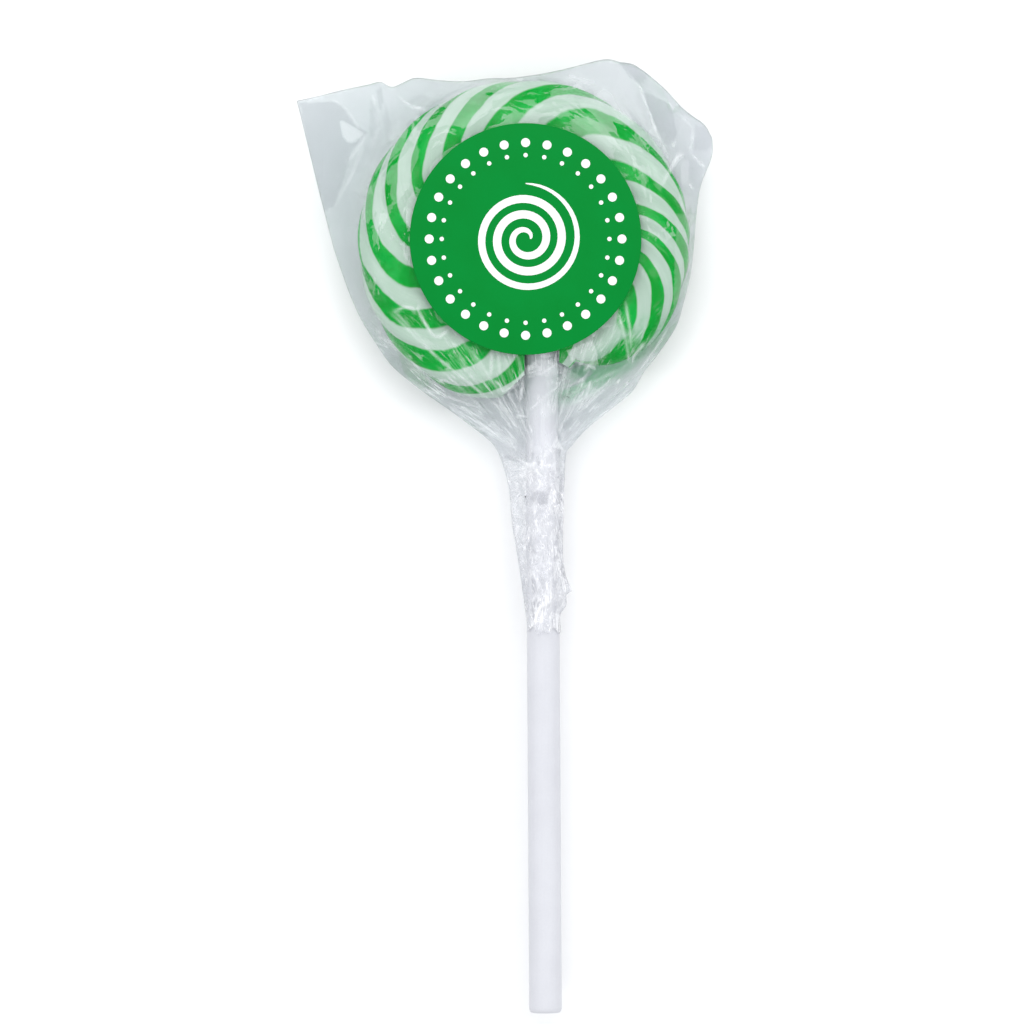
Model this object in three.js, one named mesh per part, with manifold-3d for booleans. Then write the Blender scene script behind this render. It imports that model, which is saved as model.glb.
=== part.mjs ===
import * as THREE from "three";
import Module from "manifold-3d";
import { mergeVertices } from "three/addons/utils/BufferGeometryUtils.js";

// A swirl lollipop in a clear film wrapper, lying on its back with the round label up. Millimetres.
// +Z is up, +Y points to the top of the candy and the stick runs down -Y.
// The origin is on the table, straight under the candy's centre.

// The wrapper's film, and the space left between pieces that touch
const FILM_WALL = 0.4;
const GAP = 0.3;

// The candy is a rope of strands, twisted and coiled, then pressed a little flat
const CANDY_THICKNESS = 10.4;
const ROPE_HALF_WIDTH = 6.6;
const ROPE_SQUARENESS = 2.3; // 2 is an ellipse, more is boxier
const ROPE_STRANDS = 7; // each is half green and half white
const POINTS_PER_STRAND = 4;
const FLUTE_DEPTH = 0.35;
const CORE_RADIUS = 5.5; // the inner turn's centreline
const CORE_HALF_WIDTH = 5.4;
const DIMPLE_PLUG_RADIUS = 1.6; // fills the middle of the inner turn up to a shallow dimple
const DIMPLE_PLUG_HALF = 3.8;

// Angles along the rope in degrees, from its outer end, anticlockwise
const OUTER_END_BEARING = 164; // where the outer end lies, clockwise from the top
const OUTER_TAPER = 49;
const DIVE_START = 312; // the rope leaves the rim here and turns in to the core
const DIVE_END = 420;
const ROPE_END = 725;
const INNER_TAPER = 60;
const STRETCHES = [
  { from: 0, to: 330, steps: 60 },
  { from: 330, to: 560, steps: 24 },
  { from: 560, to: ROPE_END, steps: 14 },
];

// The rim's distance from the centre, least near the top and most at the lower left
const RIM_AT_TOP = 22.2;
const RIM_SWELL_LEFT = 1.0;
const RIM_SWELL_RIGHT = 0.5;

// How many strands cross the crest in one turn, how many more in the tight stretch on the right,
// and how far they bunch up on the left
const STRANDS_PER_TURN = 11.28;
const TIGHT_BEARING = 88;
const TIGHT_STRANDS = 3.2;
const TIGHT_WIDTH = 22;
const LEFT_BUNCH_STRANDS = 0.83;

// The stick, and how its axis leans from the candy's own centre line
const STICK_DIAMETER = 4.5;
const STICK_LOW_Y = -106.4;
const STICK_TOP_Y = -7;
const STICK_X_AT_LABEL = 2.23;
const STICK_X_AT_FOOT = 2.76;
const LABEL_EDGE_Y = -17.8;
const STICK_CHAMFER = 0.5;

// The coil stands open here for the stick: a slot up the rim, and a slope on its right
const SLOT_TOP_Y = -15.2;
const SLOPE_CORNER = [3.2, -16.1];
const SLOPE_LENGTH = 5;
const SLOPE_DEG = 26.6;
const OPENING_REACH = 8;

// The label is a round sticker on the outside of the film
const LABEL_DIAMETER = 31.75;
const LABEL_THICKNESS = 0.4;

// The wrapper's outline, from its upper left corner. Every point is x, y.
const NECK_END_Y = -54.6;
const TOP_EDGE = [
  [-31.5, 19.2],
  [-21.7, 21.6],
  [-13.4, 22.8],
  [-3, 23.3],
  [4.8, 24.0],
  [11.1, 24.9],
  [16.3, 23.2],
  [21.3, 18.9],
  [25.7, 14.1],
];
const LEFT_EDGE = [
  [-31.5, 19.2],
  [-26.9, -0.9],
  [-24.2, -9.2],
  [-19.6, -15.8],
  [-7.4, -25.7],
  [-3.9, -29.0],
  [-2.4, -34.0],
  [-1.2, -45.0],
  [-0.8, NECK_END_Y],
];
const RIGHT_EDGE = [
  [25.7, 14.1],
  [24.8, 8.6],
  [24.2, 1.5],
  [23.2, -6.0],
  [20.7, -12.7],
  [16.9, -17.4],
  [10.7, -24.0],
  [6.4, -29.0],
  [6.1, -35.6],
  [5.9, -44.4],
  [6.7, -48.1],
  [5.7, NECK_END_Y],
];
const FILM_SQUARENESS = 2.8; // the film bridges the candy's shoulder
const FILM_EDGE_HALF = 0.4;
const FILM_FLUTTER = 1.5; // how far the loose edges wave up and down
const FILM_COLUMNS = 24;
const FILM_ROWS = 32;
const SETTLING_ROUNDS = 400;

// The space for the candy inside the wrapper
const SPACE_SQUARENESS = 2.5;
const SPACE_RINGS = 14;
const SPACE_SIDES = 60;

const SKIN = GAP + FILM_WALL;
const CREST_RADIUS = RIM_AT_TOP - ROPE_HALF_WIDTH;
const CANDY_HALF_HEIGHT = CANDY_THICKNESS / 2;
const MID_HEIGHT = SKIN + CANDY_HALF_HEIGHT;
const WRAPPER_TOP = 2 * MID_HEIGHT;
const { degToRad, lerp, smoothstep } = THREE.MathUtils;

const manifoldLibrary = await Module();
manifoldLibrary.setup();

function toSolid(geometry) {
  const bare = geometry.clone();
  bare.deleteAttribute("normal");
  bare.deleteAttribute("uv");
  const merged = mergeVertices(bare, 1e-4);
  const mesh = new manifoldLibrary.Mesh({
    numProp: 3,
    vertProperties: new Float32Array(merged.attributes.position.array),
    triVerts: new Uint32Array(merged.index.array),
  });
  return new manifoldLibrary.Manifold(mesh);
}

function toGeometry(solid) {
  const mesh = solid.getMesh();
  const geometry = new THREE.BufferGeometry();
  geometry.setAttribute("position", new THREE.BufferAttribute(mesh.vertProperties, 3));
  geometry.setIndex(new THREE.BufferAttribute(mesh.triVerts, 1));
  geometry.computeVertexNormals();
  return geometry;
}

function largestPiece(solid) {
  return solid.decompose().reduce((best, piece) => (piece.volume() > best.volume() ? piece : best));
}

function facesOf(points, triangles) {
  const geometry = new THREE.BufferGeometry();
  geometry.setAttribute("position", new THREE.Float32BufferAttribute(points.flat(), 3));
  geometry.setIndex(triangles.flat());
  return geometry;
}

// The candy's outline and the rope's centreline

function rimRadius(turn) {
  const left = RIM_SWELL_LEFT * smoothstep(turn, 175, 265);
  const right = RIM_SWELL_RIGHT * (1 - smoothstep(turn, 70, 150));
  return RIM_AT_TOP + left + right;
}

function centreRadius(turn) {
  const outer = rimRadius(turn) - ROPE_HALF_WIDTH;
  return lerp(outer, CORE_RADIUS, smoothstep(turn, DIVE_START, DIVE_END));
}

function centrePoint(turn) {
  const bearing = degToRad(OUTER_END_BEARING - turn);
  const radius = centreRadius(turn);
  return new THREE.Vector2(radius * Math.sin(bearing), radius * Math.cos(bearing));
}

function endShare(turn) {
  const outer = Math.max(0, 1 - turn / OUTER_TAPER);
  const inner = Math.max(0, 1 - (ROPE_END - turn) / INNER_TAPER);
  return (1 - outer ** 3) ** 1.2 * (1 - inner ** 2) ** 0.5;
}

function strandTwist(turn) {
  const bearing = OUTER_END_BEARING - turn;
  const tight = 0.5 * TIGHT_STRANDS * Math.tanh((bearing - TIGHT_BEARING) / TIGHT_WIDTH);
  const bunched = LEFT_BUNCH_STRANDS * Math.cos(degToRad(bearing));
  const strands = (STRANDS_PER_TURN * bearing) / 360 + tight + bunched;
  return (2 * Math.PI * strands) / ROPE_STRANDS;
}

function squared(value) {
  return Math.sign(value) * Math.abs(value) ** (2 / ROPE_SQUARENESS);
}

// A closed stretch of rope. Its mesh lines run along the strands, so each flute keeps its depth.
function ropeStretch({ from, to, steps }) {
  const sides = ROPE_STRANDS * POINTS_PER_STRAND;
  const points = [];
  const triangles = [];
  for (let i = 0; i <= steps; i++) {
    const turn = lerp(from, to, i / steps);
    const centre = centrePoint(turn);
    const ahead = centrePoint(turn + 0.5).sub(centrePoint(turn - 0.5)).normalize();
    const outward = new THREE.Vector2(ahead.y, -ahead.x);
    const coreShare = smoothstep(turn, DIVE_START, DIVE_END);
    const share = Math.max(endShare(turn), 0.08);
    const halfWidth = lerp(ROPE_HALF_WIDTH, CORE_HALF_WIDTH, coreShare) * share;
    const halfHeight = CANDY_HALF_HEIGHT * share ** 0.4;
    for (let k = 0; k < sides; k++) {
      const aroundRope = (2 * Math.PI * k) / sides;
      const dip = FLUTE_DEPTH * (0.5 - 0.5 * Math.cos(ROPE_STRANDS * aroundRope));
      const angle = aroundRope + strandTwist(turn);
      const across = (halfWidth - dip * share) * squared(Math.sin(angle));
      const up = (halfHeight - dip * share) * squared(Math.cos(angle));
      points.push([centre.x + outward.x * across, centre.y + outward.y * across, MID_HEIGHT + up]);
    }
  }
  for (let i = 0; i < steps; i++) {
    for (let k = 0; k < sides; k++) {
      const a = i * sides + k;
      const b = i * sides + ((k + 1) % sides);
      triangles.push([a, b, a + sides], [b, b + sides, a + sides]);
    }
  }
  capEnds(points, triangles, steps, sides);
  return toSolid(facesOf(points, triangles));
}

function capEnds(points, triangles, steps, sides) {
  for (const ring of [0, steps]) {
    const start = ring * sides;
    const hub = points.length;
    const sum = [0, 0, 0];
    for (let k = 0; k < sides; k++) {
      points[start + k].forEach((value, axis) => (sum[axis] += value / sides));
    }
    points.push(sum);
    for (let k = 0; k < sides; k++) {
      const a = start + k;
      const b = start + ((k + 1) % sides);
      triangles.push(ring === 0 ? [hub, b, a] : [hub, a, b]);
    }
  }
}

// The whole coil: the outer turn, the stretch that dives in, the core and a plug in its middle
function coil() {
  const plug = new THREE.SphereGeometry(1, 18, 10);
  plug.scale(DIMPLE_PLUG_RADIUS, DIMPLE_PLUG_RADIUS, DIMPLE_PLUG_HALF);
  plug.translate(0, 0, MID_HEIGHT);
  return STRETCHES.map(ropeStretch).reduce((whole, part) => whole.add(part), toSolid(plug));
}

// The stick

function stickX(y) {
  return lerp(STICK_X_AT_LABEL, STICK_X_AT_FOOT, (y - LABEL_EDGE_Y) / (STICK_LOW_Y - LABEL_EDGE_Y));
}

function rod(radius, lowY, highY, chamfer) {
  const half = (highY - lowY) / 2;
  const profile = [
    [0, -half],
    [radius - chamfer, -half],
    [radius, -half + chamfer],
    [radius, half - chamfer],
    [radius - chamfer, half],
    [0, half],
  ];
  const geometry = new THREE.LatheGeometry(profile.map(([x, y]) => new THREE.Vector2(x, y)), 36);
  const lean = Math.atan2(stickX(highY) - stickX(lowY), highY - lowY);
  geometry.rotateZ(-lean);
  geometry.translate((stickX(lowY) + stickX(highY)) / 2, (lowY + highY) / 2, MID_HEIGHT);
  return toSolid(geometry);
}

// What is cut from the rim of the candy, so that the stick lies open in it
function stickOpening() {
  const width = STICK_DIAMETER + 2 * GAP;
  const slot = new THREE.BoxGeometry(width, OPENING_REACH, 2 * CANDY_THICKNESS);
  slot.translate(stickX(SLOT_TOP_Y), SLOT_TOP_Y - OPENING_REACH / 2, MID_HEIGHT);
  const slope = new THREE.BoxGeometry(SLOPE_LENGTH, OPENING_REACH, 2 * CANDY_THICKNESS);
  slope.translate(SLOPE_LENGTH / 2, -OPENING_REACH / 2, 0);
  slope.rotateZ(-degToRad(SLOPE_DEG));
  slope.translate(...SLOPE_CORNER, MID_HEIGHT);
  return toSolid(slot).add(toSolid(slope));
}

// The wrapper: a sheet front and back, drawn over the candy and gathered round the stick

function curveThrough(points) {
  return new THREE.CatmullRomCurve3(points.map(([x, y]) => new THREE.Vector3(x, y, 0)), false, "centripetal");
}

const topCurve = curveThrough(TOP_EDGE);
const leftCurve = curveThrough(LEFT_EDGE);
const rightCurve = curveThrough(RIGHT_EDGE);

// A place on the film's plan: across is 0 to 1 from left to right, down is 0 to 1 from top to neck
function filmPlan(across, down) {
  const [left, right, top] = [
    leftCurve.getPointAt(down),
    rightCurve.getPointAt(down),
    topCurve.getPointAt(across),
  ];
  const corners = [TOP_EDGE[0], TOP_EDGE.at(-1), LEFT_EDGE.at(-1), RIGHT_EDGE.at(-1)];
  const mixed = ["x", "y"].map((axis, index) => {
    const sides = lerp(left[axis], right[axis], across);
    const neck = lerp(corners[2][index], corners[3][index], across);
    const ends = lerp(top[axis], neck, down);
    const upper = lerp(corners[0][index], corners[1][index], across);
    const flat = lerp(upper, neck, down);
    return sides + ends - flat;
  });
  return mixed;
}

function rimAtBearing(bearing) {
  return rimRadius((OUTER_END_BEARING - bearing + 720) % 360);
}

// The rounded space inside the wrapper that the candy fills
function candySpace() {
  const points = [];
  const triangles = [];
  for (let ring = 0; ring <= SPACE_RINGS; ring++) {
    const slope = (Math.PI * ring) / SPACE_RINGS;
    const out = Math.sin(slope) ** (2 / SPACE_SQUARENESS);
    const up = Math.sign(Math.cos(slope)) * Math.abs(Math.cos(slope)) ** (2 / SPACE_SQUARENESS);
    for (let k = 0; k < SPACE_SIDES; k++) {
      const bearing = (360 * k) / SPACE_SIDES;
      const radius = lerp(CREST_RADIUS, rimAtBearing(bearing) + GAP, out);
      const angle = degToRad(bearing);
      const z = MID_HEIGHT + up * (CANDY_HALF_HEIGHT + GAP);
      points.push([radius * Math.sin(angle), radius * Math.cos(angle), z]);
    }
  }
  for (let ring = 0; ring < SPACE_RINGS; ring++) {
    for (let k = 0; k < SPACE_SIDES; k++) {
      const a = ring * SPACE_SIDES + k;
      const b = ring * SPACE_SIDES + ((k + 1) % SPACE_SIDES);
      triangles.push([a, b, a + SPACE_SIDES], [b, b + SPACE_SIDES, a + SPACE_SIDES]);
    }
  }
  capEnds(points, triangles, SPACE_RINGS, SPACE_SIDES);
  return toSolid(facesOf(points, triangles));
}

// How high over the middle plane the film must stay to clear the candy and the stick
function leastFilmHeight(x, y) {
  const bearing = THREE.MathUtils.radToDeg(Math.atan2(x, y));
  const rim = rimAtBearing(bearing);
  const reach = (Math.hypot(x, y) - CREST_RADIUS) / (rim - CREST_RADIUS + SKIN);
  const squash = Math.max(0, Math.min(1, reach)) ** FILM_SQUARENESS;
  const overCandy = (CANDY_HALF_HEIGHT + SKIN) * (1 - squash) ** (1 / FILM_SQUARENESS);
  const stickReach = STICK_DIAMETER / 2 + SKIN;
  const aside = Math.min(Math.abs(x - stickX(y)), stickReach);
  const overStick = y < 0 ? Math.sqrt(stickReach ** 2 - aside ** 2) : 0;
  return Math.max(overCandy, overStick, FILM_EDGE_HALF);
}

function spacedEvenlyOnArc(share) {
  return (1 - Math.cos(Math.PI * share)) / 2;
}

function filmPlaces() {
  const places = [];
  for (let row = 0; row <= FILM_ROWS; row++) {
    const down = (row / FILM_ROWS) ** 1.55;
    const line = [];
    for (let column = 0; column <= FILM_COLUMNS; column++) {
      const across = spacedEvenlyOnArc(column / FILM_COLUMNS);
      const [x, y] = filmPlan(across, down);
      line.push({ x, y, across, down, least: leastFilmHeight(x, y) });
    }
    places.push(line);
  }
  return places;
}

function pull(places, place, before, after) {
  const back = Math.hypot(place.x - before.x, place.y - before.y);
  const forth = Math.hypot(after.x - place.x, after.y - place.y);
  const total = back + forth;
  return [1 / (back * total), 1 / (forth * total)];
}

// Taut film settles where each point is the mean of its neighbours, or lies on what is under it
function settleFilm(places) {
  const inside = (index, count) => index > 0 && index < count;
  for (const line of places) {
    for (const place of line) place.height = place.least;
  }
  for (let round = 0; round < SETTLING_ROUNDS; round++) {
    for (let row = 1; row <= FILM_ROWS; row++) {
      for (let column = 1; column < FILM_COLUMNS; column++) {
        const place = places[row][column];
        const [west, east] = [places[row][column - 1], places[row][column + 1]];
        const north = places[row - 1][column];
        const south = inside(row, FILM_ROWS) ? places[row + 1][column] : north;
        const [pullWest, pullEast] = pull(places, place, west, east);
        const [pullNorth, pullSouth] = inside(row, FILM_ROWS) ? pull(places, place, north, south) : [1, 1];
        const sum = west.height * pullWest + east.height * pullEast + north.height * pullNorth;
        const weight = pullWest + pullEast + pullNorth + pullSouth;
        const mean = (sum + south.height * pullSouth) / weight;
        place.height = Math.max(place.least, mean);
      }
    }
  }
}

// The loose film waves a little, least where it lies on the candy or round the stick
function flutter({ across, down, height }) {
  const loose = 1 - height / (CANDY_HALF_HEIGHT + SKIN);
  const wave = Math.sin(9 * across + 14 * down + 0.6);
  return FILM_FLUTTER * (1 - down) * loose ** 2 * wave;
}

function filmSolid() {
  const places = filmPlaces();
  settleFilm(places);
  const points = [];
  for (const side of [1, -1]) {
    for (const place of places.flat()) {
      points.push([place.x, place.y, MID_HEIGHT + flutter(place) + side * place.height]);
    }
  }
  const across = FILM_COLUMNS + 1;
  const back = points.length / 2;
  const triangles = [];
  for (let row = 0; row < FILM_ROWS; row++) {
    for (let column = 0; column < FILM_COLUMNS; column++) {
      const a = row * across + column;
      const [b, c, d] = [a + 1, a + across + 1, a + across];
      triangles.push([a, d, b], [b, d, c]);
      triangles.push([a + back, b + back, d + back], [b + back, c + back, d + back]);
    }
  }
  const joinEdge = (a, b) => triangles.push([a, b, b + back], [a, b + back, a + back]);
  for (let column = 0; column < FILM_COLUMNS; column++) {
    joinEdge(column, column + 1);
    joinEdge(FILM_ROWS * across + column + 1, FILM_ROWS * across + column);
  }
  for (let row = 0; row < FILM_ROWS; row++) {
    joinEdge((row + 1) * across, row * across);
    joinEdge(row * across + FILM_COLUMNS, (row + 1) * across + FILM_COLUMNS);
  }
  return toSolid(facesOf(points, triangles));
}

// The pieces

function candy() {
  const socket = rod(STICK_DIAMETER / 2 + GAP, STICK_LOW_Y, STICK_TOP_Y + GAP, STICK_CHAMFER);
  return toGeometry(largestPiece(coil().subtract(socket).subtract(stickOpening())));
}

function stick() {
  return toGeometry(rod(STICK_DIAMETER / 2, STICK_LOW_Y, STICK_TOP_Y, STICK_CHAMFER));
}

function wrapper() {
  const hollow = candySpace();
  const channel = rod(STICK_DIAMETER / 2 + GAP, STICK_LOW_Y, STICK_TOP_Y + GAP, STICK_CHAMFER);
  return toGeometry(largestPiece(filmSolid().subtract(hollow.add(channel))));
}

function label() {
  const radius = LABEL_DIAMETER / 2;
  const low = WRAPPER_TOP + GAP;
  const high = low + LABEL_THICKNESS;
  const profile = [
    [0, low],
    [radius, low],
    [radius, high],
    [0, high],
  ];
  const disc = new THREE.LatheGeometry(profile.map(([x, y]) => new THREE.Vector2(x, y)), 72);
  disc.rotateX(Math.PI / 2);
  return disc;
}

function material(color, roughness, extra = {}) {
  return new THREE.MeshStandardMaterial({ color, roughness, metalness: 0, ...extra });
}

const group = new THREE.Group();

function addPiece(name, geometry, look) {
  const mesh = new THREE.Mesh(geometry, look);
  mesh.name = name;
  group.add(mesh);
}

addPiece("candy", candy(), material(0x2f9e52, 0.25));
addPiece("stick", stick(), material(0xe8e8f2, 0.6));
addPiece("wrapper", wrapper(), material(0xe4ebee, 0.1, { transparent: true, opacity: 0.3 }));
addPiece("label", label(), material(0x00963a, 0.45));

export default group;
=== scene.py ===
import math
import random

import bpy
import numpy as np
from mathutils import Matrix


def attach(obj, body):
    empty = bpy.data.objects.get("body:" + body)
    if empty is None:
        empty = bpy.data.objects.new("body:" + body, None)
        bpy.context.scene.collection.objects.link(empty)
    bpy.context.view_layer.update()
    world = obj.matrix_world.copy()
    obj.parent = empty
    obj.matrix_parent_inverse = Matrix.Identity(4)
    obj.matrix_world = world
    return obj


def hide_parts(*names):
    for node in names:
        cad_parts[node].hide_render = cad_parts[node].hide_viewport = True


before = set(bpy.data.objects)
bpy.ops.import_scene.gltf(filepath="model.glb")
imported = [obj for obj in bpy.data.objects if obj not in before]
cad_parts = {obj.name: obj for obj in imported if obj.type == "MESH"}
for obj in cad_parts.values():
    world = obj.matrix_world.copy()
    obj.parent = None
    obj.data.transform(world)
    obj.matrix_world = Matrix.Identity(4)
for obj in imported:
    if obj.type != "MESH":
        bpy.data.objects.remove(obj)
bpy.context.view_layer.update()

MM = 0.001

# The candy's rope, in millimetres and degrees along the rope from its outer end.
# DIMPLE_PLUG fills the coil's middle, and PLAIN_SUGAR marks it and the cut faces as white.
OUTER_END_BEARING = 164.0
DIVE_START = 312.0
DIVE_END = 420.0
ROPE_END = 725.0
OUTER_TAPER = 49.0
INNER_TAPER = 60.0
LEAST_SHARE = 0.08
LEFT_SWELL_TURNS = (175.0, 265.0)
RIGHT_SWELL_TURNS = (70.0, 150.0)
ROPE_STRANDS = 7
CANDY_SIZES = {
    "Rim radius": 22.2,
    "Rim swell left": 1.0,
    "Rim swell right": 0.5,
    "Rope half width": 6.6,
    "Core radius": 5.5,
    "Core half width": 5.4,
    "Half height": 5.2,
    "Flute depth": 0.35,
    "Middle height": 5.9,
}
CENTRE_SIZES = ["Rim radius", "Rim swell left", "Rim swell right", "Rope half width", "Core radius"]
MID_HEIGHT = CANDY_SIZES["Middle height"]
ROPE_SQUARENESS = 2.3
STRANDS_PER_TURN = 11.28
TIGHT_BEARING = 88.0
TIGHT_STRANDS = 3.2
TIGHT_WIDTH = 22.0
LEFT_BUNCH_STRANDS = 0.83
LEAN_TURN = 224.0
LEAN_REPEAT = 160.0
LEAN_AMOUNT = 0.38
DIMPLE_PLUG = (1.6, 1.6, 3.8)
PLAIN_SUGAR = (0.75, 400.0, 0.0)
SOCKET_GAP = 0.05
STRETCHES = [(0.0, 330.0, 300), (330.0, 560.0, 110), (560.0, ROPE_END, 60)]
SIDES_OF_ROPE = 112

# The stick and the label
STICK_RADIUS = 2.25
STICK_LOW_Y = -106.4
STICK_TOP_Y = -7.0
STICK_X_AT_LABEL = 2.23
STICK_X_AT_FOOT = 2.76
LABEL_EDGE_Y = -17.8
# The coil stands open for the stick: middle, width and reach, and turn of the blocks cut from its rim
OPENINGS = [
    ((2.25, -19.2), (4.8, 8.0), 0.0),
    ((3.644, -20.796), (5.0, 8.0), -26.6),
    ((-0.26, -20.73), (5.0, 3.0), 44.0),
]
LABEL_RADIUS = 15.875
LABEL_LOW = 12.1
LABEL_TOP = 12.5
LABEL_EDGE = 0.12

# The label's print
PRINT_SIZES = {
    "Ring radius": 13.2,
    "Dot radius": 0.62,
    "Small dot radius": 0.3,
    "Swirl radius": 7.6,
    "Swirl turns": 3.25,
    "Line width": 1.15,
    "Ink thickness": 0.05,
    "Face height": LABEL_TOP,
}
DOTS_IN_RING = 28
INNER_RING_SHARE = 0.87
SWIRL_START = 0.7
INK_LIFT = 0.3  # how much of the ink's thickness its middle lies above the label's face

# The film bag's outline from its upper left corner, each point x, y
TOP_EDGE = [
    (-31.5, 19.2), (-28.3, 19.9), (-25.0, 20.7), (-21.7, 21.4), (-20.0, 21.8), (-18.4, 21.1),
    (-16.7, 21.8), (-15.1, 22.4), (-11.8, 22.1), (-8.5, 22.0), (-5.2, 22.4), (-1.9, 22.5),
    (1.4, 22.9), (4.8, 23.5), (8.1, 24.3), (11.1, 24.9), (13.0, 24.5), (14.7, 24.2),
    (16.3, 23.2), (18.0, 21.8), (19.6, 20.3), (21.3, 18.4), (22.9, 17.1), (24.6, 15.9), (25.7, 14.1),
]
LEFT_EDGE = [
    (-31.5, 19.2), (-30.6, 15.6), (-29.8, 12.3), (-28.2, 5.7), (-26.5, -0.9), (-25.4, -4.2),
    (-24.2, -7.5), (-22.7, -10.8), (-20.7, -14.1), (-18.3, -17.4), (-14.3, -20.7), (-9.6, -24.0),
    (-5.3, -27.3), (-3.9, -29.0), (-2.8, -32.0), (-2.2, -35.0), (-1.9, -38.9), (-1.2, -43.0),
    (-0.6, -47.0), (-0.1, -50.9), (0.3, -54.3),
]
RIGHT_EDGE = [
    (25.7, 14.1), (25.8, 12.3), (25.4, 10.7), (24.2, 7.6), (23.6, 4.0), (23.2, -0.9), (22.7, -5.0),
    (21.8, -8.5), (20.8, -11.8), (18.6, -15.2), (16.3, -18.2), (14.8, -20.7), (12.2, -22.9),
    (8.7, -25.7), (6.4, -28.2), (5.6, -29.5), (5.4, -33.0), (5.2, -38.9), (5.2, -43.5),
    (5.6, -46.3), (6.4, -48.1), (5.7, -48.9), (5.6, -50.5), (4.8, -52.1), (4.9, -54.3),
]
FILM_COLUMNS = 168
FILM_ROWS = 292
FILM_CLEARANCE = 0.06
FILM_SQUARENESS = 2.5
FILM_FLUTTER = 1.5  # how far the loose film waves up and down
LOOSE_CRUMPLE = 1.3
BACK_CREASES = 0.6  # how high the back sheet's creases are beside the front's
EDGE_RAMP = 30  # creases reach their full height 1/30 of the sheet inside its edges
FILM_REST = 0.62  # how far the back sheet sags to the table under the candy's middle
LABEL_SKIRT = 3.0  # how far the label's stiffness holds the film up outside its edge
LABEL_SKIRT_SLOPE = 0.3
NECK_RAGGEDNESS = 1.1
# The pale line along a crease is stress whitening and a painted highlight
CREASE_LINE = 0.34  # half width of the pale line along a crease
THROAT = (2.3, -31.0)  # where the film is gathered round the stick
SETTLING_ROUNDS = 240
LABEL_MARGIN = 0.2  # how far the film stays flat outside the label's edge
SHEET_GAP = 0.06
SEAM_WIDTH = 0.5
NECK_START = 25.0  # how far below the candy's middle the film starts to be gathered
# How high the film's own creases stand in each place
RELIEF = {
    "over candy": 0.22,
    "flap": 0.35,
    "right corner": 0.3,
    "fan": 0.22,
    "neck": 0.3,
    "knots": 0.25,
    "pleats": 0.15,
}

# The studio: the floor and the picture in millimetres, the lights in metres and degrees
FLOOR_HALF = 3000.0
FLOOR_HEIGHT = -0.01
PICTURE_WIDTH = 141.05
PICTURE_MIDDLE = (-1.86, -37.4)
LENS = 300.0
SENSOR_WIDTH = 36.0
LIGHT_DISTANCE = 1.6
# Each light's name, its bearing clockwise from +Y, slant from straight up, width, height, radiance
LIGHTS = [
    ("top_box", 0.0, 34.0, 1.5, 0.95, 2.4),
    ("right_strip", 75.0, 42.0, 0.3, 0.9, 5.5),
    ("left_strip", -80.0, 40.0, 0.3, 0.8, 4.5),
    ("low_strip", 190.0, 38.0, 0.7, 0.3, 4.5),
]


# Building node trees


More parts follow.
